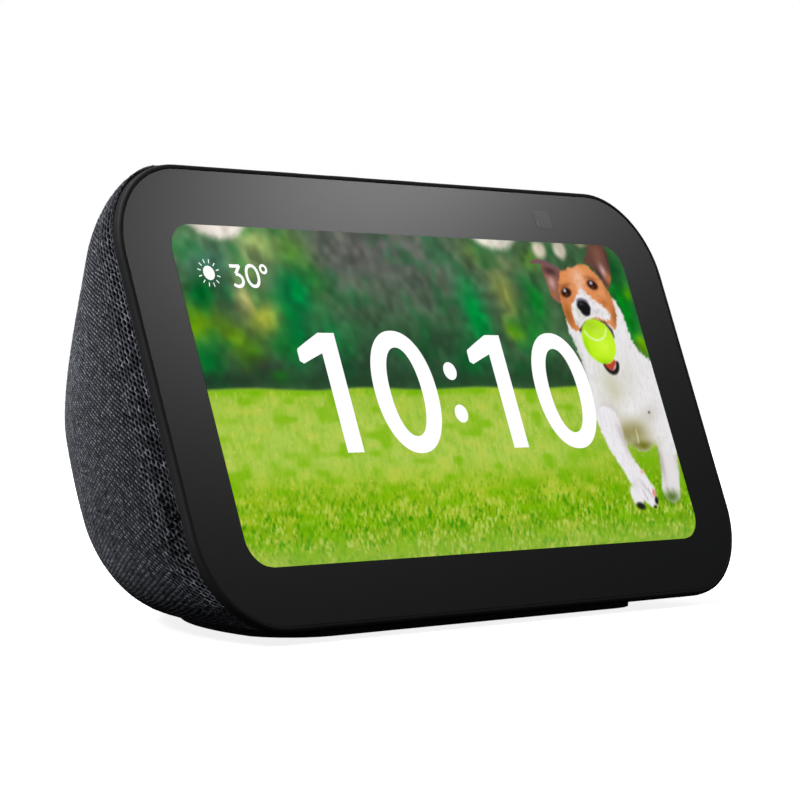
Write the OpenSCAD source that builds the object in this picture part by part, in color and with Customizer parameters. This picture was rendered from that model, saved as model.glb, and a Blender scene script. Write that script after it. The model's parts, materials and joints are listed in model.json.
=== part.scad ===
// Tilted-screen smart speaker: fabric-wrapped body, front glass, rear-facing driver.
// Frame: +Z up, the screen faces -Y, origin on the table under the middle of the body.

/* [Overall] */
// Width across the front panel
body_w = 147; // [140:1:155]
// Depth from the front edge to the back of the fabric
body_d = 91; // [88:1:96]
// Angle that the front panel leans back
tilt = 20; // [18:0.5:22]
// Height of the front panel, measured along its slope
panel_h = 84.4; // [83:0.2:86]
// Corner radius of the front panel
panel_r = 17.5; // [16:0.5:19]
// Height of the panel's lower edge above the table
panel_lift = 2.3; // [2.2:0.1:2.6]

/* [Rear body] */
// Height at which the body reaches furthest back
nose_z = 35; // [33:1:37]
// Roundness of the side profile above the nose
curve_up = 1.57; // [1.55:0.01:1.7]
// Roundness of the side profile below the nose
curve_down = 1.5; // [1.4:0.01:1.7]
// Roundness of the body seen from above
curve_plan = 1.74; // [1.7:0.01:1.9]
// How far behind the centre the body's underside ends
underside_y = 28.2; // [26:0.2:29]
// Height of the body's underside above the table
base_z = 1.6; // [1.4:0.1:1.8]
// Thickness of the knitted sleeve
fabric_t = 0.9; // [0.6:0.1:1.2]
// Wall of the moulded rear housing
shell_t = 2.2; // [1.8:0.1:2.6]

/* [Front] */
// Width of the bezel's lip round the glass
lip_w = 0.9; // [0.8:0.1:1.2]
// Thickness of the cover glass
glass_t = 1.1; // [0.9:0.1:1.2]
// Width of the screen's lit area
screen_w = 123.6; // [120:0.2:125]
// Height of the screen's lit area
screen_h = 61.8; // [60:0.2:63]
// Camera's distance right of the panel's centre line
camera_x = 40.2; // [38:0.2:41]
// Camera's height above the panel's middle, along the slope
camera_up = 35.8; // [35.8:0.1:36]

/* [Keys] */
// Distance between neighbouring keys
key_pitch = 16; // [15:0.5:17]
// Length of one key
key_l = 11; // [10:0.5:12]
// Width of one key
key_w = 4.4; // [4:0.1:4.6]
// How far a key can be pressed
key_travel = 0.4; // [0.3:0.05:0.4]
// How far the camera cover slides
shutter_travel = 6.5; // [6.4:0.1:6.6]

/* [Speaker] */
// Height of the driver's axis
driver_z = 38; // [37.5:0.1:38.5]
// Plane that the driver's flange sits on, behind the centre
driver_y = 20; // [19.5:0.1:20]
// Outer radius of the driver's flange
driver_r = 23; // [22.5:0.1:23]

/* [Power inlet] */
// Height of the inlet's axis
inlet_z = 13; // [12.8:0.1:13]
// Inside radius of the recess that takes the plug's moulded end
inlet_r = 5; // [4.8:0.1:5]
// Radius of the barrel's mouth
barrel_r = 2.1; // [2:0.05:2.2]

/* [Hidden] */
$fn = 64;

eps = 0.01;
air = 0.15;                            // gap round pieces that slide or drop in
front_y = -body_d / 2;
back_y = body_d / 2;
half_w = body_w / 2;
core_x = half_w - panel_r;             // centres of the panel's corner arcs
core_v = panel_h / 2 - panel_r;

// Side wall, from the outside in: knit, glue line, moulded wall.
glue_gap = 0.1;
wall_out = fabric_t + glue_gap;
wall_in = wall_out + shell_t;

// Depths behind the front face
rim_d = 1.5;                           // bezel's outer band, where the knit starts
curve_d = 1.3;                         // where the body's curve starts
ledge_d = 1.25;                        // ledge that the glass is bonded to
seat_d = 2.7;                          // back of the bezel, where the housing starts
tongue_d = 4.4;                        // end of the tongues that locate the bezel
band_in = wall_out + 0.05;             // neck behind the bezel's band
glass_d = 0.12;
lcd_d = 1.27;
lcd_t = 1.4;
tray_t = 1.55;
bracket_d = 4.5;
bracket_t = 0.8;
board_d = 8.5;
board_t = 1.2;
shield_t = 2;
pad_t = 0.5;
spreader_t = 1;

lcd_w = screen_w + 5;
lcd_h = screen_h + 5;
boss_x = 67;
boss_rows = [-22, 0, 22];
boss_r = 2.3;
screw_r = 0.9;
standoff_x = 50;
standoff_v = 24;

// The body's crown, just behind the panel's top edge
crown_z = panel_lift + panel_h * cos(tilt) - rim_d * sin(tilt);
crown_y = front_y + panel_h * sin(tilt) + 3.1;

// Key strip: a shallow plate let into the crown, falling to the back like the crown does
strip_tilt = 8;
strip_y = -8.9;
strip_z = 80.55;
strip_l = 104;
strip_w = 8.6;
strip_top = 0.3;
strip_plate = -1.3;
strip_bottom = -3.1;
key_top = 1.15;
flange_t = 1.05;
stem_end = -3.2;
dome_h = 0.6;
dome_top = stem_end - key_travel - 0.05;
keys_x = [-1.5 * key_pitch, -0.5 * key_pitch, 0.5 * key_pitch];
mics_x = [-40, 22];
mic_hole_r = 0.6;
knob_l = 6;
knob_w = 3;
shutter_x = camera_x - shutter_travel;

// Camera and its cover blade, in the panel's own directions
blade_d = 1.5;
blade_t = 0.35;
blade_w = 7;
blade_low = 33.6;
arm_low = 39.7;
arm_t = 0.6;
arm_back = 7.2;
notch_w = 21;

// Driver, along its own axis from the flange's seat
cone_r = 16.5;
coil_r = 7.9;
coil_wall = 0.3;
pole_r = 7.3;
plate_z = -11;
plate_t = 2;
magnet_t = 5;

// Sealed box that the driver fires out of
box_r = 24.5;
box_front = -26;
box_wall = 1.6;

foot_w = 50.5;
foot_front = -38.3;
foot_back = 27.5;
foot_corner = 10;
plate_top = 3.6;
plate_front = -41.8;
plate_corner = 3;
plate_gap = 0.5;                       // between the base plate and the housing

inlet_wall = 1.2;
jack_face = 31;
jack_back = 21.4;
jack_w = 10;
jack_h = 8.6;

tuck = 0.727;                          // how quickly the profile turns in under the nose
ahead = 3;                             // how far the body's solid runs past its front edge
LEVELS = 26;
ARC = 36;

// ---------- shape of the rear body ----------

// Slope coordinate of a height on the panel's face
function slope_of(z) = (z - panel_lift) / cos(tilt);

// Half width of the panel's outline at a height
function outline_half(z) =
    let (v = slope_of(z))
    let (k = min(panel_r, max(0, panel_r - v, panel_r - (panel_h - v))))
    core_x + sqrt(panel_r * panel_r - k * k);

// Plane parallel to the face, a given depth behind it
function plane_y(z, depth) = front_y + (z - panel_lift) * tan(tilt) + depth / cos(tilt);

// Back of the body on the centre line
function spine_y(z) =
    z > nose_z
    ? crown_y + (back_y - crown_y)
        * pow(max(0, 1 - pow((z - nose_z) / (crown_z - nose_z), curve_up)), 1 / curve_up)
    : underside_y + (back_y - underside_y)
        * pow(max(0, 1 - pow((nose_z - z) / (nose_z - base_z), curve_down)), tuck);

function level_angle(i) = 180 * i / LEVELS - 90;
function level_z(i) = base_z + (crown_z - base_z) * (1 + sin(level_angle(i))) / 2;
function side_inset(i, s) = level_angle(i) < 0 ? s : s * cos(level_angle(i));
function top_inset(i, s) = level_angle(i) < 0 ? 0 : s * sin(level_angle(i));

// One horizontal ring of the body, inset by s. It starts ahead of the knit's front edge.
function body_ring(i, s, drop) =
    let (z = level_z(i))
    let (height = z - top_inset(i, s) - drop)
    let (w = outline_half(z) - side_inset(i, s))
    let (y0 = plane_y(height, curve_d))
    let (reach = spine_y(z) - side_inset(i, s) - y0)
    [
        [-w, y0 - ahead, height],
        for (j = [0 : ARC])
            let (a = 180 * j / ARC)
            [
                -w * sign(cos(a)) * pow(abs(cos(a)), 2 / curve_plan),
                y0 + reach * pow(sin(a), 2 / curve_plan),
                height
            ],
        [w, y0 - ahead, height]
    ];

// Closed solid of the body; with open = true it runs past the underside, as a cutter
module body_solid(s, open = false) {
    rings = concat(
        open ? [body_ring(0, s, 1)] : [],
        [for (i = [0 : LEVELS]) body_ring(i, s, 0)]
    );
    count = len(rings);
    side = len(rings[0]);
    points = [for (ring = rings) each ring];
    bottom = [for (j = [side - 1 : -1 : 0]) j];
    top = [for (j = [0 : side - 1]) (count - 1) * side + j];
    walls = [
        for (i = [0 : count - 2], j = [0 : side - 1])
            let (k = (j + 1) % side)
            let (a = i * side + j, b = i * side + k)
            each [[a, b + side, a + side], [a, b, b + side]]
    ];
    polyhedron(points, concat([bottom, top], walls), convexity = 6);
}

// ---------- frames and shared shapes ----------

// Panel frame: x right, y into the body, z up the slope from the panel's middle
module on_panel() {
    translate([0, front_y + panel_h / 2 * sin(tilt), panel_lift + panel_h / 2 * cos(tilt)])
        rotate([-tilt, 0, 0])
            children();
}

module on_strip() {
    translate([0, strip_y, strip_z])
        rotate([-strip_tilt, 0, 0])
            children();
}

module on_driver() {
    translate([0, driver_y, driver_z])
        rotate([-90, 0, 0])
            children();
}

// Flat plate in the panel frame, from one depth to another
module slab(depth, thick) {
    translate([0, depth + thick, 0])
        rotate([90, 0, 0])
            linear_extrude(thick)
                children();
}

module rounded_rect(w, h, r) {
    square([w - 2 * r, h], center = true);
    square([w, h - 2 * r], center = true);
    for (x = [-1, 1], y = [-1, 1])
        translate([x * (w / 2 - r), y * (h / 2 - r)])
            circle(r);
}

module stadium(l, w) {
    square([l - w, w], center = true);
    for (x = [-1, 1])
        translate([x * (l - w) / 2, 0])
            circle(d = w);
}

// What lies behind a plane parallel to the face
module behind(depth) {
    intersection() {
        children();
        on_panel()
            translate([-body_w, depth, -body_w])
                cube(2 * body_w);
    }
}

// Plate the shape of the panel, its edge a given distance inside the outline
module panel_plate(inset, depth, thick) {
    on_panel()
        slab(depth, thick)
            rounded_rect(body_w - 2 * inset, panel_h - 2 * inset, panel_r - inset);
}

// Bar with a stadium outline between two heights
module stadium_bar(l, w, low, high) {
    translate([0, 0, low])
        linear_extrude(high - low)
            stadium(l, w);
}

module centred_box(w, d, low, high) {
    translate([-w / 2, -d / 2, low])
        cube([w, d, high - low]);
}

module disc(r, low, high) {
    translate([0, 0, low])
        cylinder(r = r, h = high - low);
}

module ring(r_out, r_in, low, high) {
    difference() {
        disc(r_out, low, high);
        disc(r_in, low - 1, high + 1);
    }
}

// Sweeps a profile round the panel's outline. In the profile x is the distance outside
// the outline and y is the depth behind the face.
module sweep_outline() {
    for (a = [0, 180])
        rotate([0, a, 0]) {
            translate([half_w, 0, -core_v])
                linear_extrude(2 * core_v)
                    children();
            translate([-core_x, 0, panel_h / 2])
                rotate([0, 90, 0])
                    linear_extrude(2 * core_x)
                        rotate([0, 0, 180])
                            mirror([0, 1])
                                children();
        }
    for (x = [-1, 1], z = [-1, 1])
        translate([x * core_x, 0, z * core_v])
            rotate([-90, 0, 0])
                rotate([0, 0, x > 0 ? (z > 0 ? -90 : 0) : (z > 0 ? 180 : 90)])
                    rotate_extrude(angle = 90, $fn = 96)
                        translate([panel_r, 0])
                            children();
}

// ---------- front ----------

module cover_glass() {
    color([0.05, 0.05, 0.06])
        panel_plate(lip_w + 0.1, glass_d, glass_t);
}

// Lip and outer band, ledge under the glass, and the neck that backs on to the housing
module bezel_profile() {
    edge_r = 0.6;
    ledge_in = 5;
    polygon(concat(
        [[-lip_w, 0]],
        [for (a = [0 : 15 : 90]) [edge_r * (sin(a) - 1), edge_r * (1 - cos(a))]],
        [
            [0, rim_d], [-band_in, rim_d], [-band_in, seat_d],
            [-ledge_in, seat_d], [-ledge_in, ledge_d], [-lip_w, ledge_d]
        ]
    ));
}

// Tongues that plug into the housing along the bezel's straight sides
module bezel_tongues() {
    inset = wall_in + 0.6;
    thick = 1.15;
    length = tongue_d - seat_d + eps;
    for (a = [0, 180])
        rotate([0, a, 0]) {
            translate([half_w - inset - thick, seat_d - eps, -core_v])
                cube([thick, length, 2 * core_v]);
            translate([4 - core_x, seat_d - eps, panel_h / 2 - inset - thick])
                cube([2 * core_x - 8, length, thick]);
        }
}

module boss_places() {
    for (x = [-boss_x, boss_x], v = boss_rows)
        translate([x, 0, v])
            rotate([-90, 0, 0])
                children();
}

module front_bezel() {
    color([0.2, 0.2, 0.21])
        on_panel()
            difference() {
                union() {
                    sweep_outline()
                        bezel_profile();
                    bezel_tongues();
                    boss_places()
                        disc(boss_r, ledge_d, bracket_d);
                }
                boss_places()
                    disc(screw_r + 0.05, ledge_d + 0.8, bracket_d + 1);
                // room for the camera and its cover's arm
                translate([camera_x - notch_w / 2 - shutter_travel / 2, ledge_d, 36.8])
                    cube([notch_w, 6, 4.1]);
            }
}

module display_panel() {
    color([0.1, 0.12, 0.14])
        on_panel()
            slab(lcd_d, lcd_t)
                square([lcd_w, lcd_h], center = true);
}

module backlight_unit() {
    color([0.85, 0.86, 0.88])
        on_panel()
            slab(lcd_d + lcd_t, tray_t)
                square([lcd_w - 0.6, lcd_h - 0.6], center = true);
}

module display_bracket() {
    color([0.62, 0.63, 0.65])
        on_panel()
            difference() {
                union() {
                    slab(bracket_d, bracket_t)
                        rounded_rect(2 * boss_x - 6, lcd_h - 0.6, 3);
                    for (v = boss_rows)
                        translate([0, 0, v])
                            slab(bracket_d, bracket_t)
                                stadium(2 * boss_x + 3.6, 3.6);
                    for (x = [-standoff_x, standoff_x], v = [-standoff_v, standoff_v])
                        translate([x, 0, v])
                            rotate([-90, 0, 0])
                                disc(2.4, bracket_d + 0.1, board_d);
                }
                boss_places()
                    disc(screw_r + 0.15, bracket_d - 1, bracket_d + 2);
                for (x = [-standoff_x, standoff_x], v = [-standoff_v, standoff_v])
                    translate([x, 0, v])
                        rotate([-90, 0, 0])
                            disc(screw_r + 0.05, bracket_d + bracket_t, board_d + 1);
                // lightening windows and the flex's way through
                for (x = [-24, 24])
                    translate([x - 17, 0, -11])
                        cube([34, 10, 24]);
                translate([-13, 0, -26])
                    cube([26, 10, 6]);
            }
}

// Pan-head screws along +z, the head's underside at z = 0
module pan_screw(r, reach) {
    disc(2 * r, 0, 0.9 * r);
    disc(r, -reach, eps);
}

module bracket_screws() {
    color([0.72, 0.72, 0.74])
        on_panel()
            boss_places()
                translate([0, 0, bracket_d + bracket_t])
                    pan_screw(screw_r, 2.8);
}

module display_flex() {
    flex_t = 0.2;
    color([0.8, 0.5, 0.15])
        on_panel()
            translate([-12, 0, -24.5])
                union() {
                    translate([0, lcd_d + lcd_t + tray_t, 0])
                        cube([24, flex_t, 4]);
                    translate([0, lcd_d + lcd_t + tray_t, 0])
                        cube([24, board_d - lcd_d - lcd_t - tray_t, flex_t]);
                    translate([0, board_d - flex_t, 0])
                        cube([24, flex_t, 7]);
                }
}

module camera_lens() {
    color([0.04, 0.05, 0.08])
        on_panel()
            translate([camera_x, 0, camera_up])
                rotate([-90, 0, 0]) {
                    ring(2.05, 1.3, 2.05, 3.4);
                    disc(1.35, 2.45, 3.4);
                }
}

module camera_module() {
    color([0.1, 0.1, 0.11])
        on_panel()
            translate([camera_x - 3.7, 3.4, 33.55])
                cube([7.4, 3.4, 5.95]);
}

// Thumb knob, arm and blade in one moulding; open at rest
module camera_shutter() {
    color([0.3, 0.3, 0.31])
        translate([shutter_x, 0, 0]) {
            on_strip() {
                stadium_bar(knob_l, knob_w, strip_plate - 3.6, strip_top + 0.7);
                centred_box(knob_l + 2.4, knob_w + 1.4, strip_plate - 1.6, strip_plate - 0.1);
            }
            on_panel() {
                translate([-blade_w / 2, blade_d, blade_low])
                    cube([blade_w, blade_t, arm_low + arm_t - blade_low]);
                translate([-knob_l / 2 + 0.5, blade_d, arm_low])
                    cube([knob_l - 1, arm_back - blade_d, arm_t]);
            }
        }
}

module light_sensor() {
    color([0.15, 0.15, 0.17])
        on_panel()
            translate([-camera_x - 1.5, ledge_d, camera_up - 1.2])
                cube([3, 1, 2.4]);
}

// ---------- keys ----------

// Its top follows the crown, a little proud of the knit
module key_strip() {
    color([0.21, 0.21, 0.22])
        intersection() {
            body_solid(-strip_top);
            on_strip()
                key_strip_bar();
        }
}

module key_strip_bar() {
    difference() {
        stadium_bar(strip_l, strip_w, strip_bottom, 3);
        for (x = keys_x)
            translate([x, 0, 0]) {
                stadium_bar(key_l + 2 * air, key_w + 2 * air, strip_bottom - 1, 4);
                stadium_bar(key_l + 3.2, key_w + 1.9, strip_bottom - 1, strip_plate);
            }
        translate([shutter_x + shutter_travel / 2, 0, 0]) {
            stadium_bar(knob_l + shutter_travel + 2 * air, knob_w + 2 * air,
                strip_bottom - 1, 4);
            centred_box(knob_l + shutter_travel + 3.4, knob_w + 2,
                strip_bottom - 1, strip_plate);
            // way in for the arm, under the front edge
            translate([-notch_w / 2, -strip_w, strip_bottom - 1])
                cube([notch_w, strip_w, 2]);
        }
        for (x = mics_x)
            translate([x, 0, 0]) {
                disc(mic_hole_r, strip_bottom - 1, 4);
                disc(2, strip_bottom - 1, strip_plate);
            }
    }
}

module key(i) {
    color([0.17, 0.17, 0.18])
        on_strip()
            translate([keys_x[i], 0, 0]) {
                stadium_bar(key_l, key_w, strip_plate - flange_t, key_top);
                stadium_bar(key_l + 2.4, key_w + 1.3, strip_plate - flange_t,
                    strip_plate - 0.05);
                disc(1, stem_end, strip_plate - flange_t + eps);
            }
}

module camera_off_key() { key(0); }
module volume_down_key() { key(1); }
module volume_up_key() { key(2); }

module key_board() {
    color([0.1, 0.35, 0.2])
        on_strip()
            translate([-0.5 * key_pitch, 0, 0])
                centred_box(50, 7, dome_top - dome_h - 1, dome_top - dome_h);
}

module key_domes() {
    color([0.8, 0.8, 0.78])
        on_strip()
            for (x = keys_x)
                translate([x, 0, 0]) {
                    disc(1.9, dome_top - dome_h, dome_top - dome_h / 2);
                    disc(1.2, dome_top - dome_h / 2 - eps, dome_top);
                }
}

module microphone_boots() {
    color([0.08, 0.08, 0.08])
        on_strip()
            for (x = mics_x)
                translate([x, 0, 0])
                    ring(1.9, mic_hole_r, strip_bottom - 0.4, strip_plate);
}

// ---------- rear body ----------

module strip_cut() {
    on_strip()
        stadium_bar(strip_l + 2 * air, strip_w + 2 * air, -9, 5);
}

module inlet_cut(gap) {
    translate([0, jack_face - 4, inlet_z])
        rotate([-90, 0, 0])
            cylinder(r = inlet_r + inlet_wall + gap, h = 30);
}

module fabric_wrap() {
    color([0.25, 0.26, 0.29])
        difference() {
            behind(rim_d)
                body_solid(0);
            body_solid(fabric_t, open = true);
            // the bezel's neck
            panel_plate(band_in - 0.1, rim_d - 1, seat_d - rim_d + 1.1);
            strip_cut();
            inlet_cut(0.1);
        }
}

module rear_housing() {
    slot_l = 34;
    color([0.16, 0.16, 0.17])
        difference() {
            behind(seat_d + 0.1)
                body_solid(wall_out);
            body_solid(wall_in, open = true);
            strip_cut();
            inlet_cut(0.1);
            // way through the top edge for the camera cover's arm
            on_panel()
                translate([camera_x - notch_w / 2 - shutter_travel / 2, 0, 36.8])
                    cube([notch_w, 8, 4.3]);
            // sound slots in front of the driver
            for (x = [-3 : 3])
                translate([x * 6 - 1.2, 20, driver_z - slot_l / 2 + 2 * abs(x)])
                    cube([2.4, 40, slot_l - 4 * abs(x)]);
        }
}

// Half-round outline: straight front edge, rounded front corners, the body's own curve
module plan_outline(w, y_front, y_back, corner) {
    reach = y_back - y_front;
    t0 = asin(pow(corner / reach, curve_plan / 2));
    function side_at(t) = [
        w * pow(cos(t), 2 / curve_plan),
        y_front + reach * pow(sin(t), 2 / curve_plan)
    ];
    start = side_at(t0)[0];
    right = concat(
        [for (a = [0 : 15 : 75])
            [start - corner + corner * sin(a), y_front + corner - corner * cos(a)]],
        [for (k = [0 : 18]) side_at(t0 + (90 - t0) * k / 18)]
    );
    left = [for (k = [len(right) - 2 : -1 : 0]) [-right[k][0], right[k][1]]];
    polygon(concat(right, left));
}

module base_places() {
    for (p = [[-36, -30], [36, -30], [-20, 12], [20, 12]])
        translate([p[0], p[1], 0])
            children();
}

module base_plate() {
    color([0.14, 0.14, 0.15])
        difference() {
            union() {
                translate([0, 0, base_z])
                    linear_extrude(plate_top - base_z)
                        plan_outline(core_x - wall_in - plate_gap, plate_front,
                            underside_y - wall_in - plate_gap, plate_corner);
                base_places()
                    disc(3.4, plate_top - eps, plate_top + 3);
            }
            base_places() {
                disc(1.4, 0, plate_top + 4);
                disc(2.7, 0, base_z + 1.3);
            }
        }
}

module base_screws() {
    color([0.7, 0.7, 0.72])
        base_places()
            translate([0, 0, base_z + 1.3])
                mirror([0, 0, 1])
                    pan_screw(1.25, 4.6);
}

module rubber_foot() {
    color([0.22, 0.22, 0.23])
        linear_extrude(base_z)
            plan_outline(foot_w, foot_front, foot_back, foot_corner);
}

// ---------- speaker ----------

module speaker_places(r) {
    for (a = [45 : 90 : 315])
        rotate([0, 0, a])
            translate([r, 0, 0])
                children();
}

module speaker_box() {
    color([0.12, 0.12, 0.13])
        difference() {
            union() {
                on_driver()
                    disc(box_r, box_front, -0.6);
                // two legs, with room between them for the power lead
                for (x = [-14, 8])
                    translate([x, driver_y + box_front + 3, plate_top])
                        cube([6, 20, driver_z - 18 - plate_top]);
            }
            on_driver() {
                disc(box_r - box_wall - 2.4, box_front + box_wall, 1);
                speaker_places(driver_r - 1.5)
                    disc(0.8, -6, 1);
            }
        }
}

module speaker_gasket() {
    color([0.07, 0.07, 0.07])
        on_driver()
            difference() {
                ring(driver_r, box_r - box_wall - 2.4, -0.6, 0);
                speaker_places(driver_r - 1.5)
                    disc(1.1, -2, 1);
            }
}

module speaker_basket() {
    color([0.5, 0.51, 0.53])
        on_driver()
            difference() {
                union() {
                    ring(driver_r, cone_r + 3, 0, 1.2);
                    rotate_extrude($fn = 96)
                        polygon([[19.4, eps], [20.4, eps], [14.4, plate_z + plate_t],
                            [14.4, plate_z + plate_t - 1], [8.2, plate_z + plate_t - 1],
                            [8.2, plate_z + plate_t], [13.4, plate_z + plate_t]]);
                }
                speaker_places(driver_r - 1.5)
                    disc(1, -2, 2);
                for (a = [0 : 60 : 300])
                    rotate([0, 0, a])
                        translate([16, 0, -4.5])
                            cube([8, 7, 5], center = true);
            }
}

module speaker_screws() {
    color([0.7, 0.7, 0.72])
        on_driver()
            speaker_places(driver_r - 1.5)
                translate([0, 0, 1.2])
                    pan_screw(0.6, 6);
}

module speaker_top_plate() {
    color([0.6, 0.6, 0.62])
        on_driver()
            ring(13, coil_r + 0.3, plate_z - plate_t / 2, plate_z + plate_t / 2 - 0.02);
}

module speaker_magnet() {
    color([0.25, 0.25, 0.27])
        on_driver()
            ring(14.5, 9.5, plate_z - plate_t / 2 - magnet_t, plate_z - plate_t / 2);
}

module speaker_yoke() {
    color([0.6, 0.6, 0.62])
        on_driver() {
            disc(13.5, plate_z - plate_t / 2 - magnet_t - 2.2,
                plate_z - plate_t / 2 - magnet_t);
            disc(pole_r, plate_z - plate_t / 2 - magnet_t - eps, plate_z + plate_t / 2);
        }
}

module voice_coil() {
    color([0.75, 0.4, 0.2])
        on_driver()
            ring(coil_r, coil_r - coil_wall, plate_z - 2.5, -3);
}

module speaker_cone() {
    color([0.1, 0.1, 0.11])
        on_driver()
            rotate_extrude($fn = 96)
                polygon([[coil_r - coil_wall, -3], [coil_r + 0.3, -3], [cone_r, 0.6],
                    [cone_r, 1.1], [coil_r - coil_wall, -2.4]]);
}

module dust_cap() {
    rise = 2.4;
    cap_r = coil_r - coil_wall;
    ball_r = (cap_r * cap_r + rise * rise) / (2 * rise);
    color([0.13, 0.13, 0.14])
        on_driver()
            translate([0, 0, -2.39])
                difference() {
                    intersection() {
                        translate([0, 0, rise - ball_r])
                            sphere(ball_r);
                        disc(cap_r, 0, rise);
                    }
                    translate([0, 0, rise - ball_r])
                        sphere(ball_r - 0.3);
                }
}

module speaker_surround() {
    roll = (cone_r + 3 - cone_r) / 2;
    color([0.06, 0.06, 0.06])
        on_driver()
            rotate_extrude($fn = 96) {
                translate([cone_r + roll, 1.2])
                    intersection() {
                        difference() {
                            circle(roll + 0.2, $fn = 32);
                            circle(roll - 0.2, $fn = 32);
                        }
                        translate([-3, 0])
                            square([6, 3]);
                    }
                translate([cone_r + 3, 1.2])
                    square([0.7, 0.4]);
            }
}

module speaker_spider() {
    color([0.75, 0.6, 0.3])
        on_driver()
            rotate_extrude($fn = 96)
                translate([coil_r + 0.05, -8.4])
                    square([4.4, 0.4]);
}

module speaker_lead() {
    color([0.6, 0.1, 0.1])
        for (x = [-1, 1])
            translate([x * 1.2, driver_y + box_front - 5.5, 30])
                rotate([-90, 0, 0])
                    cylinder(r = 0.6, h = 5.5);
}

// ---------- electronics ----------

module main_board() {
    color([0.08, 0.3, 0.18])
        on_panel()
            difference() {
                slab(board_d, board_t)
                    rounded_rect(112, 58, 3);
                for (x = [-standoff_x, standoff_x], v = [-standoff_v, standoff_v])
                    translate([x, 0, v])
                        rotate([-90, 0, 0])
                            disc(screw_r + 0.15, board_d - 1, board_d + 3);
            }
}

module board_screws() {
    color([0.72, 0.72, 0.74])
        on_panel()
            for (x = [-standoff_x, standoff_x], v = [-standoff_v, standoff_v])
                translate([x, board_d + board_t, v])
                    rotate([-90, 0, 0])
                        pan_screw(screw_r, 3.6);
}

shield_cells = [[-26, 6, 30, 26], [12, 8, 34, 22], [-20, -18, 40, 14]];

module board_shields() {
    color([0.75, 0.75, 0.77])
        on_panel()
            for (cell = shield_cells)
                translate([cell[0] - cell[2] / 2, board_d + board_t, cell[1] - cell[3] / 2])
                    cube([cell[2], shield_t, cell[3]]);
}

module thermal_pads() {
    color([0.5, 0.6, 0.75])
        on_panel()
            for (cell = shield_cells)
                translate([cell[0] - cell[2] / 2 + 2, board_d + board_t + shield_t,
                    cell[1] - cell[3] / 2 + 2])
                    cube([cell[2] - 4, pad_t, cell[3] - 4]);
}

module heat_spreader() {
    color([0.78, 0.79, 0.8])
        on_panel()
            slab(board_d + board_t + shield_t + pad_t, spreader_t)
                rounded_rect(84, 46, 4);
}

module antenna_boards() {
    color([0.1, 0.35, 0.2])
        on_panel()
            for (x = [-61.5, 61.5])
                translate([x - 3.5, 9, 2])
                    cube([7, 0.8, 20]);
}

// ---------- power inlet ----------

module along_inlet() {
    translate([0, 0, inlet_z])
        rotate([-90, 0, 0])
            children();
}

module power_jack() {
    color([0.08, 0.08, 0.08])
        difference() {
            translate([-jack_w / 2, jack_back, inlet_z - jack_h / 2])
                cube([jack_w, jack_face - jack_back, jack_h]);
            along_inlet()
                disc(barrel_r, jack_back + 0.8, jack_face + 1);
        }
}

module jack_pin() {
    color([0.8, 0.7, 0.35])
        along_inlet()
            disc(0.8, jack_back + 0.8, jack_face - 1);
}

// Tube through the wall; its end is cut on the slope of the body round it
module jack_bezel() {
    low_z = inlet_z - inlet_r - inlet_wall;
    high_z = inlet_z + inlet_r + inlet_wall;
    lean = atan((spine_y(high_z) - spine_y(low_z)) / (high_z - low_z));
    color([0.18, 0.18, 0.19])
        difference() {
            along_inlet()
                ring(inlet_r + inlet_wall, inlet_r, jack_face, back_y);
            translate([0, spine_y(low_z) + 0.3, low_z])
                rotate([-lean, 0, 0])
                    translate([-20, 0, -20])
                        cube([40, 40, 60]);
        }
}

module power_lead() {
    color([0.1, 0.1, 0.1])
        for (x = [-1, 1])
            translate([x * 1.2, 2, plate_top + 3])
                rotate([-90, 0, 0])
                    cylinder(r = 0.7, h = jack_back - 2.2);
}

cover_glass();
front_bezel();
display_panel();
backlight_unit();
display_bracket();
bracket_screws();
display_flex();
camera_lens();
camera_module();
camera_shutter();
light_sensor();
key_strip();
camera_off_key();
volume_down_key();
volume_up_key();
key_board();
key_domes();
microphone_boots();
fabric_wrap();
rear_housing();
base_plate();
base_screws();
rubber_foot();
speaker_box();
speaker_gasket();
speaker_basket();
speaker_screws();
speaker_yoke();
speaker_magnet();
speaker_top_plate();
voice_coil();
speaker_cone();
dust_cap();
speaker_surround();
speaker_spider();
speaker_lead();
main_board();
board_screws();
board_shields();
thermal_pads();
heat_spreader();
antenna_boards();
power_jack();
jack_pin();
jack_bezel();
power_lead();
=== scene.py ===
"""Tabletop smart display: lit tilted screen, honeycomb-knit body, keys along the top edge."""

import json
import math

import bpy
import numpy as np
from mathutils import Matrix, Vector


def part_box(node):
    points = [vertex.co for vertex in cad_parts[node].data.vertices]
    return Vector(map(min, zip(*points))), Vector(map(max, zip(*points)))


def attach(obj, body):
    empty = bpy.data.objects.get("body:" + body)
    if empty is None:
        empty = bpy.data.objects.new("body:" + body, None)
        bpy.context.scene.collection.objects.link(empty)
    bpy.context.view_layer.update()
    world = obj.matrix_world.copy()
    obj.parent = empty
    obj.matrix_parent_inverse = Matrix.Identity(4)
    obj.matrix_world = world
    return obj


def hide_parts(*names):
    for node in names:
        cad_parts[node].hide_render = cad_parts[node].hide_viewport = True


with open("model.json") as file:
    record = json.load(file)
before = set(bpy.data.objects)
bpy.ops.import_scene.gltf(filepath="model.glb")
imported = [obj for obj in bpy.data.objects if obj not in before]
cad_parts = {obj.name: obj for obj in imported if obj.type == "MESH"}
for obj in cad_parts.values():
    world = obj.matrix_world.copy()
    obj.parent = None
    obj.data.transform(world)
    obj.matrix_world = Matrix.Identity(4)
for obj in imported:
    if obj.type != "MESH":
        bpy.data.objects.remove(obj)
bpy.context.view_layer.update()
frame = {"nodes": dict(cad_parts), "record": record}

nodes = frame["nodes"]

# ---------- driving dimensions, in millimetres ----------

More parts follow.
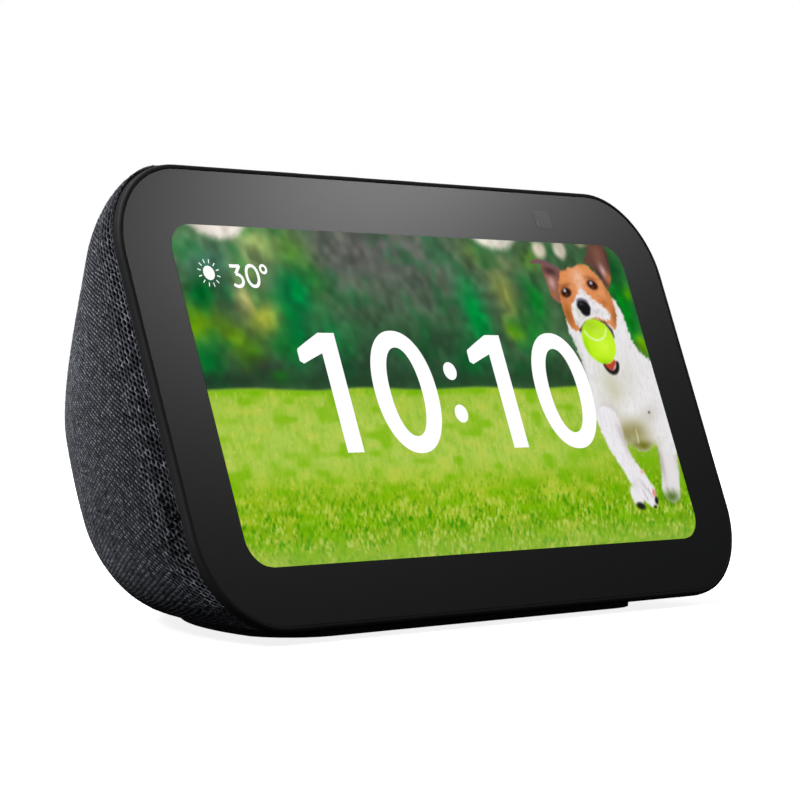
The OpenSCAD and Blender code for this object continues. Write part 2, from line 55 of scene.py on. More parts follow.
MM = 0.001
HALF_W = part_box("front_bezel")[1].x / MM
TILT = math.radians(20)
PANEL_H = 84.4
PANEL_R = 17.5
PANEL_LIFT = 2.3
FRONT_Y = -45.5
BACK_Y = 45.5
NOSE_Z = 35.0
BASE_Z = 1.6
UNDERSIDE_Y = 28.2
CURVE_UP = 1.57
CURVE_DOWN = 1.5
CURVE_PLAN = 1.74
TUCK = 0.727
RIM_D = 1.5                      # the knit starts this far behind the face
CORE_X = HALF_W - PANEL_R
CROWN_Z = PANEL_LIFT + PANEL_H * math.cos(TILT) - RIM_D * math.sin(TILT)
CROWN_Y = FRONT_Y + PANEL_H * math.sin(TILT) + 3.1

SCREEN_W = 123.6
SCREEN_H = 61.8
SCREEN_R = 5.3
GLASS_D = 0.12                   # front of the glass, behind the face
CAMERA_X = 40.2
CAMERA_UP = 35.8

STRIP_Y = -8.9
STRIP_L = 104.0
STRIP_W = 8.6
INLET_Z = 13.0
INLET_R = 6.2

PANEL_MIDDLE = (0, FRONT_Y + PANEL_H / 2 * math.sin(TILT), PANEL_LIFT + PANEL_H / 2 * math.cos(TILT))
PANEL = Matrix.Translation(PANEL_MIDDLE) @ Matrix.Rotation(-TILT, 4, "X")


def on_panel(x, z, depth):
    """Points of the panel frame (x right, z up the slope, depth into the body) in the row frame."""
    x, z = np.broadcast_arrays(np.asarray(x, float), np.asarray(z, float))
    local = np.stack([x.ravel(), np.full(x.size, float(depth)), z.ravel()], 1)
    matrix = np.array(PANEL)
    return local @ matrix[:3, :3].T + matrix[:3, 3]


# ---------- meshes ----------

def linked(name, data):
    """An object with this data, in the scene."""
    piece = bpy.data.objects.new(name, data)
    bpy.context.scene.collection.objects.link(piece)
    return piece


def new_piece(name, points, faces, material, body="chassis", smooth=True):
    """A piece from points in millimetres. Its faces all have the same number of sides."""
    faces = np.asarray(faces)
    mesh = bpy.data.meshes.new(name)
    mesh.vertices.add(len(points))
    mesh.vertices.foreach_set("co", (np.asarray(points, float) * MM).ravel())
    mesh.loops.add(faces.size)
    mesh.loops.foreach_set("vertex_index", faces.ravel())
    mesh.polygons.add(len(faces))
    mesh.polygons.foreach_set("loop_start", np.arange(len(faces)) * faces.shape[1])
    mesh.polygons.foreach_set("use_smooth", np.full(len(faces), smooth))
    mesh.update(calc_edges=True)
    mesh.materials.append(material)
    piece = linked(name, mesh)
    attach(piece, body)
    return piece


def add_values(piece, name, values):
    """A number for each vertex, which the piece's material reads."""
    layer = piece.data.attributes.new(name, "FLOAT", "POINT")
    layer.data.foreach_set("value", np.asarray(values, np.float32))


def grid_faces(rows, columns):
    """Quads of a grid whose vertices run along its rows."""
    first = (np.arange(rows - 1)[:, None] * columns + np.arange(columns - 1)).ravel()
    return np.stack([first, first + 1, first + columns + 1, first + columns], 1)


def ring_faces(count, start=0):
    """Quads between two closed rings of the same number of vertices, one after the other."""
    this = np.arange(count)
    after = (this + 1) % count
    return np.stack([this, after, after + count, this + count], 1) + start


def middle_faces(count):
    """Quads that fill the first ring of a number of vertices."""
    this = np.arange(count // 2 - 1)
    return np.stack([this, this + 1, count - 2 - this, count - 1 - this], 1)


def squared_turn(power, count=96):
    """Cosines and sines of a full turn, squarer at the corners the further power is above 2."""
    a = np.linspace(0, 2 * math.pi, count, endpoint=False)
    c, s = np.cos(a), np.sin(a)
    return np.sign(c) * np.abs(c) ** (2 / power), np.sign(s) * np.abs(s) ** (2 / power)


def seen_from_front(x, z, faces):
    """The same quads, wound so that they face out of the panel. x and z are the vertices' places on it."""
    ring_x, ring_z = x[faces], z[faces]
    area = (ring_x * np.roll(ring_z, -1, axis=1) - np.roll(ring_x, -1, axis=1) * ring_z).sum(axis=1)
    return np.where(area[:, None] < 0, faces[:, ::-1], faces)


def smooth_step(value):
    value = np.clip(value, 0, 1)
    return value * value * (3 - 2 * value)


def value_noise(x, z, size, seed):
    """Smooth noise from 0 to 1 whose features are about size across."""
    table = np.random.default_rng(seed).random((256, 256))
    gx, gz = np.asarray(x) / size, np.asarray(z) / size
    ix, iz = np.floor(gx).astype(int), np.floor(gz).astype(int)
    fx, fz = smooth_step(gx - ix), smooth_step(gz - iz)
    low = table[ix % 256, iz % 256] * (1 - fx) + table[(ix + 1) % 256, iz % 256] * fx
    high = table[ix % 256, (iz + 1) % 256] * (1 - fx) + table[(ix + 1) % 256, (iz + 1) % 256] * fx
    return low * (1 - fz) + high * fz


def flecks(x, z, size, seed, level, sharpness):
    """1 where the noise is well above a level and 0 below it, or the reverse if sharpness is negative."""
    return smooth_step((value_noise(x, z, size, seed) - level) * sharpness)


# ---------- materials ----------

def linear(rgb):
    """A colour from 0 to 255 as the eye sees it, as the linear numbers that shaders take."""
    c = np.asarray(rgb, float) / 255
    return np.where(c <= 0.04045, c / 12.92, ((c + 0.055) / 1.055) ** 2.4)


def rgba(rgb):
    return tuple(float(v) for v in linear(rgb)) + (1.0,)


def add_node(tree, kind, **values):
    """A shader node with these values on its sockets."""
    node = tree.nodes.new(kind)
    for socket, value in values.items():
        node.inputs[socket.replace("_", " ")].default_value = value
    return node


class Shader:
    """A Principled material and short ways to wire its nodes."""

    def __init__(self, name, **sockets):
        self.material = bpy.data.materials.new(name)
        self.material.use_nodes = True
        self.tree = self.material.node_tree
        self.bsdf = self.tree.nodes["Principled BSDF"]
        for socket, value in sockets.items():
            self.bsdf.inputs[socket.replace("_", " ")].default_value = value
        self.place = self.add("ShaderNodeTexCoord").outputs["Object"]

    def add(self, kind, **values):
        return add_node(self.tree, kind, **values)

    def link(self, value, socket):
        self.tree.links.new(value, socket)

    def noise(self, size, detail=2.0, roughness=0.5, stretch=None):
        """Noise whose features are about size millimetres, longer along the axes that stretch names."""
        place = self.place
        if stretch:
            mapping = self.add("ShaderNodeMapping", Scale=stretch)
            self.link(place, mapping.inputs["Vector"])
            place = mapping.outputs["Vector"]
        node = self.add("ShaderNodeTexNoise", Scale=1 / (size * MM), Detail=detail, Roughness=roughness)
        self.link(place, node.inputs["Vector"])
        return node.outputs["Fac"]

    def attribute(self, name):
        node = self.add("ShaderNodeAttribute")
        node.attribute_name = name
        return node

    def ramp(self, value, stops):
        """Colours from 0 to 255 at places from 0 to 1 of a value."""
        node = self.add("ShaderNodeValToRGB")
        ramp = node.color_ramp
        while len(ramp.elements) < len(stops):
            ramp.elements.new(0.5)
        for element, (place, colour) in zip(ramp.elements, stops):
            element.position = place
            element.color = rgba(colour)
        self.link(value, node.inputs["Fac"])
        return node.outputs["Color"]

    def span(self, value, low, high):
        """A value from 0 to 1 as a number from low to high."""
        node = self.add("ShaderNodeMapRange", To_Min=low, To_Max=high)
        self.link(value, node.inputs["Value"])
        return node.outputs["Result"]

    def maths(self, operation, first, second):
        node = self.add("ShaderNodeMath")
        node.operation = operation
        for socket, value in zip(node.inputs, (first, second)):
            if isinstance(value, (int, float)):
                socket.default_value = value
            else:
                self.link(value, socket)
        return node.outputs["Value"]

    def colour(self, value, stops):
        self.link(self.ramp(value, stops), self.bsdf.inputs["Base Color"])

    def roughness(self, value, low, high):
        self.link(self.span(value, low, high), self.bsdf.inputs["Roughness"])

    def bump(self, height, depth, strength=1.0):
        """Bumps of a depth in millimetres."""
        node = self.add("ShaderNodeBump", Strength=strength, Distance=depth * MM)
        self.link(height, node.inputs["Height"])
        self.link(node.outputs["Normal"], self.bsdf.inputs["Normal"])


def moulded(name, dark, light, rough=(0.42, 0.56), grain=0.22, depth=0.02, shine=0.5):
    """Moulded plastic or rubber: fine grain, slight mottle."""
    s = Shader(name, Specular_IOR_Level=shine)
    s.colour(s.noise(3.0, 4.0), [(0.3, dark), (0.7, light)])
    s.roughness(s.noise(0.9, 3.0), *rough)
    s.bump(s.noise(grain, 2.0), depth, 0.5)
    return s.material


def metal(name, dark, light, rough=(0.25, 0.42), stretch=(1, 12, 12), coat=0.0):
    """Sheet metal with fine rolling lines along x."""
    s = Shader(name, Metallic=1.0, Coat_Weight=coat)
    lines = s.noise(0.8, 4.0, stretch=stretch)
    s.colour(lines, [(0.25, dark), (0.75, light)])
    s.roughness(lines, *rough)
    s.bump(lines, 0.01, 0.4)
    return s.material


def board_material():
    """Solder mask with copper tracks showing through."""
    s = Shader("solder_mask", Roughness=0.35, Coat_Weight=0.4, Coat_Roughness=0.2)
    tracks = s.add(
        "ShaderNodeTexBrick", Scale=1 / (2.5 * MM), Mortar_Size=0.05, Mortar=rgba((58, 140, 88)),
        Color1=rgba((18, 82, 52)), Color2=rgba((24, 98, 62)),
    )
    s.link(s.place, tracks.inputs["Vector"])
    s.link(tracks.outputs["Color"], s.bsdf.inputs["Base Color"])
    s.bump(s.noise(0.6), 0.01, 0.5)
    return s.material


def woven(name, dark, light, size=0.5):
    """A plain resin-stiffened weave."""
    s = Shader(name, Roughness=0.85)
    wave = s.add("ShaderNodeTexWave", Scale=0.3 / (size * MM), Distortion=1.5)
    wave.wave_type = "RINGS"
    s.link(s.place, wave.inputs["Vector"])
    s.colour(wave.outputs["Fac"], [(0.2, dark), (0.8, light)])
    s.bump(wave.outputs["Fac"], 0.05, 0.6)
    return s.material


def glass_face_material():
    """The black border behind glass with a fine anti-glare etch."""
    s = Shader("cover_glass")
    s.colour(s.noise(6.0, 3.0), [(0.35, (12, 12, 12)), (0.65, (15, 15, 15))])
    s.roughness(s.noise(0.9, 2.0), 0.27, 0.285)
    return s.material


def picture_material():
    """The lit picture. It has no shine of its own, so the lights don't veil it."""
    s = Shader("screen_picture", Base_Color=(0, 0, 0, 1), Specular_IOR_Level=0.0, Emission_Strength=1.0)
    s.link(s.attribute("picture").outputs["Color"], s.bsdf.inputs["Emission Color"])
    s.roughness(s.noise(0.3, 2.0), 0.22, 0.25)
    return s.material


def lit_white_material():
    """White figures of the clock, with the faint cell structure of the screen."""
    s = Shader("lit_white", Base_Color=(0.01, 0.01, 0.01, 1), Roughness=0.35, Emission_Strength=1.0)
    cells = s.ramp(s.noise(0.12, 1.0), [(0.3, (250, 250, 250)), (0.7, (255, 255, 255))])
    s.link(cells, s.bsdf.inputs["Emission Color"])
    return s.material


def yarn_material():
    """Melange yarn: grey on the ridges, with lighter flecks, and painted shade where it falls into the
    gaps.
    """
    s = Shader("knit_yarn", Roughness=0.85, Sheen_Weight=0.05, Sheen_Roughness=0.5, Specular_IOR_Level=0.2)
    tone = s.attribute("tone").outputs["Fac"]
    mixed = s.maths("MULTIPLY", tone, s.span(s.noise(0.3, 2.0, 0.6), 0.6, 1.4))
    # the darkest stops carry the painted shade of the hole edges
    s.colour(mixed, [
        (0.0, (6, 6, 8)), (0.25, (30, 31, 35)), (0.55, (92, 94, 101)), (1.0, (190, 192, 200)),
    ])
    s.bump(s.noise(0.09, 2.0, stretch=(1, 2.5, 2.5)), 0.04, 0.7)
    return s.material


def knit_ground_material():
    """The dark inner layer that shows through the holes of the net."""
    s = Shader("knit_ground", Roughness=0.95, Specular_IOR_Level=0.1)
    s.colour(s.noise(0.25, 2.0), [(0.35, (7, 7, 10)), (0.75, (24, 24, 30))])
    s.bump(s.noise(0.15, 2.0), 0.05, 0.6)
    return s.material


def finishes():
    """One material for each of the record's slots, by the slot's name."""
    looks = {
        "bezel_plastic": (moulded, (33, 33, 34), (38, 38, 39), (0.6, 0.7), 0.18, 0.006, 0.2),
        "display_cell": (moulded, (18, 22, 20), (26, 30, 28), (0.1, 0.2), 1.0, 0.002),
        "white_plastic": (moulded, (208, 209, 212), (226, 227, 230)),
        "steel": (metal, (148, 150, 154), (192, 194, 198)),
        "flex_film": (moulded, (176, 104, 34), (206, 132, 52), (0.2, 0.3), 1.2, 0.004),
        "lens_glass": (moulded, (8, 10, 18), (16, 20, 34), (0.03, 0.06), 2.0, 0.001),
        "black_plastic": (moulded, (18, 18, 19), (28, 28, 29)),
        "key_plastic": (moulded, (32, 32, 33), (39, 39, 40), (0.35, 0.45), 0.15, 0.01),
        "black_rubber": (moulded, (16, 16, 16), (26, 26, 26), (0.6, 0.75)),
        "housing_plastic": (moulded, (22, 22, 23), (31, 31, 32), (0.5, 0.65), 0.35, 0.03),
        "foot_rubber": (moulded, (88, 88, 90), (100, 100, 102), (0.6, 0.75), 0.3, 0.01, 0.2),
        "ferrite": (moulded, (40, 40, 43), (66, 66, 70), (0.5, 0.7), 0.4, 0.03),
        "copper_wire": (metal, (150, 84, 48), (204, 124, 78), (0.2, 0.35), (12, 1, 12), 0.5),
        "cone_fibre": (woven, (24, 24, 25), (42, 42, 44), 0.7),
        "spider_cloth": (woven, (140, 102, 48), (190, 148, 84), 0.5),
        "lead_cover": (moulded, (20, 20, 20), (34, 34, 34), (0.3, 0.4)),
        "pad_rubber": (moulded, (116, 136, 166), (140, 160, 188), (0.6, 0.8)),
        "aluminium": (metal, (176, 178, 182), (214, 216, 220), (0.2, 0.35)),
        "brass": (metal, (176, 146, 78), (214, 186, 116), (0.15, 0.3)),
    }
    made = {name: look(name, *values) for name, (look, *values) in looks.items()}
    made["cover_glass"] = glass_face_material()
    made["circuit_board"] = board_material()
    made["knit_fabric"] = knit_ground_material()
    return made


# ---------- the CAD nodes ----------

BEVELS = {
    "key_strip": 0.15, "camera_off_key": 0.45, "volume_down_key": 0.45, "volume_up_key": 0.45,
    "camera_shutter": 0.3, "rubber_foot": 0.5, "jack_bezel": 0.3, "power_jack": 0.3,
    "base_plate": 0.25, "display_bracket": 0.12, "board_shields": 0.3, "heat_spreader": 0.15,
    "speaker_basket": 0.15, "speaker_box": 0.4,
}


def soften_edges(node, width):
    """Small rounds on a node's sharp edges, as modifiers, so that its own mesh stays as it is."""
    weld = node.modifiers.new("weld", "WELD")
    weld.merge_threshold = 0.002 * MM
    bevel = node.modifiers.new("bevel", "BEVEL")
    bevel.width = width * MM
    bevel.segments = 3
    bevel.angle_limit = math.radians(40)
    bevel.use_clamp_overlap = True
    normals = node.modifiers.new("normals", "WEIGHTED_NORMAL")
    normals.keep_sharp = True


def dress_nodes(materials):
    """Gives each CAD node its finish and smooth shading."""
    for part in frame["record"]["subparts"]:
        node = nodes[part["node"]]
        node.data.materials.clear()
        node.data.materials.append(materials[part["material_slot"]])
        node.data.polygons.foreach_set("use_smooth", np.ones(len(node.data.polygons), bool))
        node.data.set_sharp_from_angle(angle=math.radians(32))
        if part["node"] in BEVELS:
            soften_edges(node, BEVELS[part["node"]])


# ---------- the knitted sleeve ----------

PITCH_RIM = 1.15                 # cells next to the rim
PITCH_FINE = 0.92                # cells further back
COARSE_BAND = 7.0                # how far the large cells reach behind the rim
FIRST_ROW = 0.3                  # from the rim to the first whole stitches
RIDGE = 0.12                     # height of the yarn over the body's surface
HOLE = -0.36                     # height of a hole's edge
GROUND = -0.42                   # height of the dark inner layer
FRONT_PART = 34.0                # the net is in two parts each side, split this far behind the rim
HEM = 0.98                       # fullness from which the underside's rows still count as cloth
STRIP_FLOOR = 70.0               # the key strip's slot is above this height
MERIDIANS = 720                  # curves over the body from the rim to the middle of the back
STEPS = 220                      # points on each
RAY = 120.0                      # longer than the way from CENTRE to any point of the body
HALVINGS = 26                    # steps of the search for the skin along a ray
LOOP = 361                       # points that measure the way round a row
ROW_SHARE = 0.866                # height of a row of equal triangles over their side
CENTRE = np.array([0.0, -2.0, 38.0])
POLE = np.array([0.0, 1.0, 0.0])


def outline_half(z):
    v = (z - PANEL_LIFT) / math.cos(TILT)
    k = np.clip(np.maximum(PANEL_R - v, PANEL_R - (PANEL_H - v)), 0, PANEL_R)
    return CORE_X + np.sqrt(PANEL_R ** 2 - k ** 2)


def plane_y(z, depth):
    return FRONT_Y + (z - PANEL_LIFT) * math.tan(TILT) + depth / math.cos(TILT)


def spine_y(z):
    up = np.clip((z - NOSE_Z) / (CROWN_Z - NOSE_Z), 0, 1) ** CURVE_UP
    down = np.clip((NOSE_Z - z) / (NOSE_Z - BASE_Z), 0, 1) ** CURVE_DOWN
    above = CROWN_Y + (BACK_Y - CROWN_Y) * (1 - up) ** (1 / CURVE_UP)
    below = UNDERSIDE_Y + (BACK_Y - UNDERSIDE_Y) * (1 - down) ** TUCK
    return np.where(z > NOSE_Z, above, below)


def fullness(points):
    """Below 1 inside the body's rings, 1 on its skin."""
    x, y, z = points[..., 0], points[..., 1], points[..., 2]
    start = plane_y(z, RIM_D - 0.2)
    across = np.abs(x) / outline_half(z)
    back = np.maximum(y - start, 0) / np.maximum(spine_y(z) - start, 0.01)
    return across ** CURVE_PLAN + back ** CURVE_PLAN


def skin_along(directions):
    """Where rays from the body's middle leave it."""
    near = np.zeros(directions.shape[:-1])
    far = np.full(directions.shape[:-1], RAY)
    for _ in range(HALVINGS):
        middle = (near + far) / 2
        points = CENTRE + directions * middle[..., None]
        z = points[..., 2]
        within = (fullness(points) < 1) & (z > BASE_Z) & (z < CROWN_Z)
        near = np.where(within, middle, near)
        far = np.where(within, far, middle)
    return CENTRE + directions * near[..., None]


def rim_loop(count):
    """Evenly spaced points round the knit's front edge, from the middle of the bottom, clockwise."""
    z = BASE_Z + (CROWN_Z - BASE_Z) * (1 - np.cos(np.linspace(0, math.pi, 240))) / 2
    left = np.stack([-outline_half(z), plane_y(z, RIM_D), z], 1)
    right = left[::-1] * (-1, 1, 1)
    start = np.array([[0, left[0, 1], BASE_Z]])
    loop = np.concatenate([start, left, right, start])
    run = np.concatenate([[0], np.cumsum(np.linalg.norm(np.diff(loop, axis=0), axis=1))])
    at = np.arange(count) / count * run[-1]
    return np.stack([np.interp(at, run, loop[:, k]) for k in range(3)], 1)


def meridians():
    """Points of the skin on curves from the rim to the middle of the back, spaced by length."""
    rim = rim_loop(MERIDIANS)
    first = rim - CENTRE
    first /= np.linalg.norm(first, axis=1)[:, None]
    turn = np.arccos(first @ POLE)[:, None, None]
    t = np.linspace(0, 1, STEPS)[None, :, None]
    directions = (np.sin((1 - t) * turn) * first[:, None] + np.sin(t * turn) * POLE) / np.sin(turn)
    points = skin_along(directions)
    points[:, 0] = rim
    steps = np.linalg.norm(np.diff(points, axis=1), axis=2)
    run = np.concatenate([np.zeros((MERIDIANS, 1)), np.cumsum(steps, axis=1)], 1)
    share = np.linspace(0, 1, STEPS)
    even = np.empty_like(points)
    for i in range(MERIDIANS):
        for k in range(3):
            even[i, :, k] = np.interp(share * run[i, -1], run[i], points[i, :, k])
    return even, run[:, -1]


def skin_point(even, around, share):
    """A point at a share from 0 to 1 of the way round and a share of the way back."""
    a = np.asarray(around) % 1 * MERIDIANS
    b = np.clip(share, 0, 1) * (STEPS - 1)
    i, j = np.floor(a).astype(int), np.minimum(np.floor(b).astype(int), STEPS - 2)
    fa, fb = (a - i)[..., None], (b - j)[..., None]
    after = (i + 1) % MERIDIANS
    near = even[i, j] * (1 - fa) + even[after, j] * fa
    far = even[i, j + 1] * (1 - fa) + even[after, j + 1] * fa
    return near * (1 - fb) + far * fb


def stitch(first, second):
    """Triangles between two closed rows of points, each given as (first index, count, phase)."""
    (a0, na, pa), (b0, nb, pb) = first, second
    triangles = []
    i = j = 0
    while i < na or j < nb:
        if j >= nb or (i < na and (i + 1 + pa) / na <= (j + 1 + pb) / nb):
            triangles.append((a0 + i % na, a0 + (i + 1) % na, b0 + j % nb))
            i += 1
        else:
            triangles.append((a0 + i % na, b0 + (j + 1) % nb, b0 + j % nb))
            j += 1
    return triangles


def knit_rows(even, length):
    """Rows of stitches parallel to the rim. The count drops now and then as the rows get shorter."""
    reach = float(length.mean())
    rng = np.random.default_rng(11)
    points, distances, triangles = [], [], []
    distance, count, start, before, k = 0.0, 0, 0, None, 0
    while distance < reach:
        share = distance / reach
        loop = skin_point(even, np.linspace(0, 1, LOOP), np.full(LOOP, share))
        around = np.linalg.norm(np.diff(loop, axis=0), axis=1).sum()
        blend = float(smooth_step((distance - 0.4 * COARSE_BAND) / COARSE_BAND))
        pitch = PITCH_RIM + (PITCH_FINE - PITCH_RIM) * blend
        wanted = max(6, round(around / pitch))
        if before is None or not 0.84 < wanted / count < 1.12:
            count = wanted
        spacing = around / count
        phase = 0.5 * (k % 2)
        wander = 0.09 + 0.05 * (1 - blend)
        jitter = rng.normal(0, wander, (2, count)) if k > 1 else np.zeros((2, count))
        at = (np.arange(count) + phase + jitter[0]) / count
        points.append(skin_point(even, at, share + jitter[1] * pitch / reach))
        distances.append(np.full(count, distance))
        row = (start, count, phase)
        if before is not None:
            triangles += stitch(before, row)
        before = row
        start += count
        distance += 0.5 * ROW_SHARE * (spacing + pitch) if k else FIRST_ROW
        k += 1
    return np.concatenate(points), np.concatenate(distances), np.array(triangles)


def knit_kept(points):
    """Which stitches are cloth: not the underside, the key strip's slot or the inlet."""
    x, y, z = points.T
    edge = 0.4
    wall = z > BASE_Z + 0.02
    hem = fullness(points) > HEM
    over_strip = np.maximum(np.abs(x) - (STRIP_L - STRIP_W) / 2, 0) ** 2 + (y - STRIP_Y) ** 2
    in_strip = (over_strip < (STRIP_W / 2 - edge) ** 2) & (z > STRIP_FLOOR)
    in_inlet = (x ** 2 + (z - INLET_Z) ** 2 < (INLET_R - edge) ** 2) & (y > 0)
    return (wall | hem) & ~in_strip & ~in_inlet


def at_corners(points, triangles, normals):
    """The mean direction of the triangles' normals at each point."""
    out = np.zeros_like(points)
    for c in range(3):
        np.add.at(out, triangles[:, c], normals)
    return out / (np.linalg.norm(out, axis=1)[:, None] + 1e-12)


def knit_net(points, distances, triangles):
    """The yarn net: a cell round each stitch, as quads that fall from the ridges to the hole's edge."""
    rng = np.random.default_rng(23)
    corners = points[triangles]
    normals = np.cross(corners[:, 1] - corners[:, 0], corners[:, 2] - corners[:, 0])
    normals /= np.linalg.norm(normals, axis=1)[:, None] + 1e-12
    middle = corners.mean(axis=1)
    outward = np.sign(((middle - CENTRE) * normals).sum(axis=1))[:, None]
    normals *= outward
    at_stitch = at_corners(points, triangles, normals)

    # openings of the cells: wide next to the rim, tighter further back
    near_rim = 1 - smooth_step((distances - 0.3 * COARSE_BAND) / COARSE_BAND)
    opening = 0.6 + 0.16 * near_rim + rng.normal(0, 0.04, len(points))
    lift = RIDGE + rng.normal(0, 0.02, len(triangles))
    node_points = middle + normals * lift[:, None]
    shrink = opening[triangles][..., None]
    depth = HOLE + 0.1 * (1 - near_rim) + 0.12 * smooth_step((distances - FRONT_PART) / 20)
    floor = depth[triangles][..., None]
    inner = corners + shrink * (middle[:, None] - corners) + at_stitch[triangles] * floor

    # pair the two directions of each edge between triangles
    start = triangles.ravel()
    end = triangles[:, [1, 2, 0]].ravel()
    key = np.minimum(start, end) * len(points) + np.maximum(start, end)
    order = np.argsort(key, kind="stable")
    same = key[order][:-1] == key[order][1:]
    one, two = order[:-1][same], order[1:][same]
    t1, t2 = one // 3, two // 3
    a1, b1 = one, t1 * 3 + (one % 3 + 1) % 3
    b2, a2 = two, t2 * 3 + (two % 3 + 1) % 3
    swapped = start[one] == start[two]
    a2, b2 = np.where(swapped, b2, a2), np.where(swapped, a2, b2)
    base = len(triangles)
    quads = np.concatenate([
        np.stack([t1, t2, base + a2, base + a1], 1),
        np.stack([t2, t1, base + b1, base + b2], 1),
    ])
    cells = np.concatenate([start[a1], start[b1]])
    uses = np.bincount(triangles.ravel(), minlength=len(points))
    rings = np.bincount(cells, minlength=len(points))
    whole = (uses == rings) & (uses > 2)
    quads, cells = quads[whole[cells]], cells[whole[cells]]

    # half of the ridges' meeting points are light loops, the others are darker
    ridge_tone = rng.random(len(triangles))
    rim_share = near_rim[triangles].mean(axis=1)
    outer = distances[triangles]
    loops = (outer > outer.mean(axis=1)[:, None]).sum(axis=1) > 1
    fine_tone = np.where(loops, 0.62 + 0.34 * ridge_tone, 0.2 + 0.14 * ridge_tone)
    tone = (1 - rim_share) * fine_tone + rim_share * (0.55 + 0.4 * ridge_tone)
    # painted shade in the holes: the yarn's edges that fall into them are coloured near black, a little
    # lighter further back from the rim
    hole_shade_tone = np.repeat(0.04 + 0.08 * (1 - rim_share), 3)
    all_points = np.concatenate([node_points, inner.reshape(-1, 3)])
    return all_points, quads, cells, np.concatenate([tone, hole_shade_tone])


def facing_out(points, faces):
    """The same faces, all wound so that they face away from the body's middle, and their normals."""
    a, b, c, last = [points[faces[:, k]] for k in (0, 1, 2, -1)]
    normals = np.cross(c - a, last - b)
    flipped = (normals * ((a + c) / 2 - CENTRE)).sum(axis=1) < 0
    normals[flipped] *= -1
    return np.where(flipped[:, None], faces[:, ::-1], faces), normals


def part_of(points, values, faces):
    """Only the points that these faces use, renumbered."""
    used, numbers = np.unique(faces, return_inverse=True)
    return points[used], values[used], numbers.reshape(faces.shape)


def knitted_sleeve(materials):
    even, length = meridians()
    points, distances, triangles = knit_rows(even, length)
    kept = knit_kept(points)
    triangles = triangles[kept[triangles].all(axis=1)]
    net, quads, cells, tone = knit_net(points, distances, triangles)
    quads, _ = facing_out(net, quads)

    yarn = yarn_material()
    left, front = points[cells, 0] < 0, distances[cells] < FRONT_PART
    for name, side in (
        ("knit_front_left", front & left), ("knit_front_right", front & ~left),
        ("knit_back_left", ~front & left), ("knit_back_right", ~front & ~left),
    ):
        part, part_tone, faces = part_of(net, tone, quads[side])
        piece = new_piece(name, part, faces, yarn)
        add_values(piece, "tone", part_tone)

    triangles, normals = facing_out(points, triangles)
    out = at_corners(points, triangles, normals)
    ground, _, faces = part_of(points + out * GROUND, points, triangles)
    sleeve = new_piece("knit_sleeve", ground, faces, materials["knit_fabric"])
    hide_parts("fabric_wrap")


# ---------- the picture on the screen ----------

class Picture:
    """Colours at points of the screen, in millimetres from its middle. Shapes go on top of each other."""

    def __init__(self, x, z):
        self.x, self.z = x, z
        self.rgb = np.zeros(x.shape + (3,))
        self.within = 1.0

    def lay(self, mask, colour):
        mask = np.clip(mask * self.within, 0, 1)[..., None]
        self.rgb += mask * (np.asarray(colour, float) - self.rgb)

    def turned(self, cx, cz, turn):
        a = math.radians(turn)
        dx, dz = self.x - cx, self.z - cz
        return dx * math.cos(a) + dz * math.sin(a), dz * math.cos(a) - dx * math.sin(a)

    def glow(self, colour, cx, cz, rx, rz, strength=1.0, turn=0):
        """A soft round patch."""
        u, v = self.turned(cx, cz, turn)
        self.lay(strength * np.exp(-1.4 * ((u / rx) ** 2 + (v / rz) ** 2)), colour)

    def glows(self, *patches):
        """Soft round patches one after the other, each with the values that glow takes."""
        for patch in patches:
            self.glow(*patch)

    def blob(self, colour, cx, cz, rx, rz, turn=0, soft=0.25, fuzz=0.0):
        """An ellipse with an edge."""
        u, v = self.turned(cx, cz, turn)
        inside = (1 - np.sqrt((u / rx) ** 2 + (v / rz) ** 2)) * min(rx, rz)
        return self.edge(colour, inside, soft, fuzz)

    def edge(self, colour, inside, soft, fuzz):
        """Paints where the distance inside a shape is above 0. fuzz roughens the edge like fur."""
        if fuzz:
            inside = inside + fuzz * (value_noise(self.x, self.z, 0.45, 3) - 0.5) * 2
        mask = smooth_step(0.5 + inside / (2 * soft))
        self.lay(mask, colour)
        return mask

    def limb(self, colour, joints, soft=0.3, fuzz=0.0):
        """A chain of rounded lengths through (x, z, radius)."""
        inside = np.full(self.x.shape, -99.0)
        for (x0, z0, r0), (x1, z1, r1) in zip(joints, joints[1:]):
            dx, dz = x1 - x0, z1 - z0
            t = np.clip(((self.x - x0) * dx + (self.z - z0) * dz) / (dx * dx + dz * dz), 0, 1)
            away = np.hypot(self.x - x0 - t * dx, self.z - z0 - t * dz)
            inside = np.maximum(inside, r0 + (r1 - r0) * t - away)
        return self.edge(colour, inside, soft, fuzz)

    def patch(self, colour, outline, soft=0.25, fuzz=0.0):
        """A closed shape through given points, with smooth turns between them."""
        loop = smooth_loop(outline)
        away = np.full(self.x.shape, 99.0)
        crossings = np.zeros(self.x.shape, int)
        for (x0, z0), (x1, z1) in zip(loop, np.roll(loop, -1, axis=0)):
            dx, dz = x1 - x0, z1 - z0
            t = np.clip(((self.x - x0) * dx + (self.z - z0) * dz) / (dx * dx + dz * dz + 1e-9), 0, 1)
            away = np.minimum(away, np.hypot(self.x - x0 - t * dx, self.z - z0 - t * dz))
            if z0 != z1:
                spans = (self.z >= min(z0, z1)) & (self.z < max(z0, z1))
                crossings += spans & (self.x < x0 + (self.z - z0) * dx / dz)
        return self.edge(colour, np.where(crossings % 2 == 1, away, -away), soft, fuzz)


def arc(cx, cz, rx, rz, start, end, count=14):
    a = np.radians(np.linspace(start, end, count))
    return [(cx + rx * math.cos(t), cz + rz * math.sin(t)) for t in a]


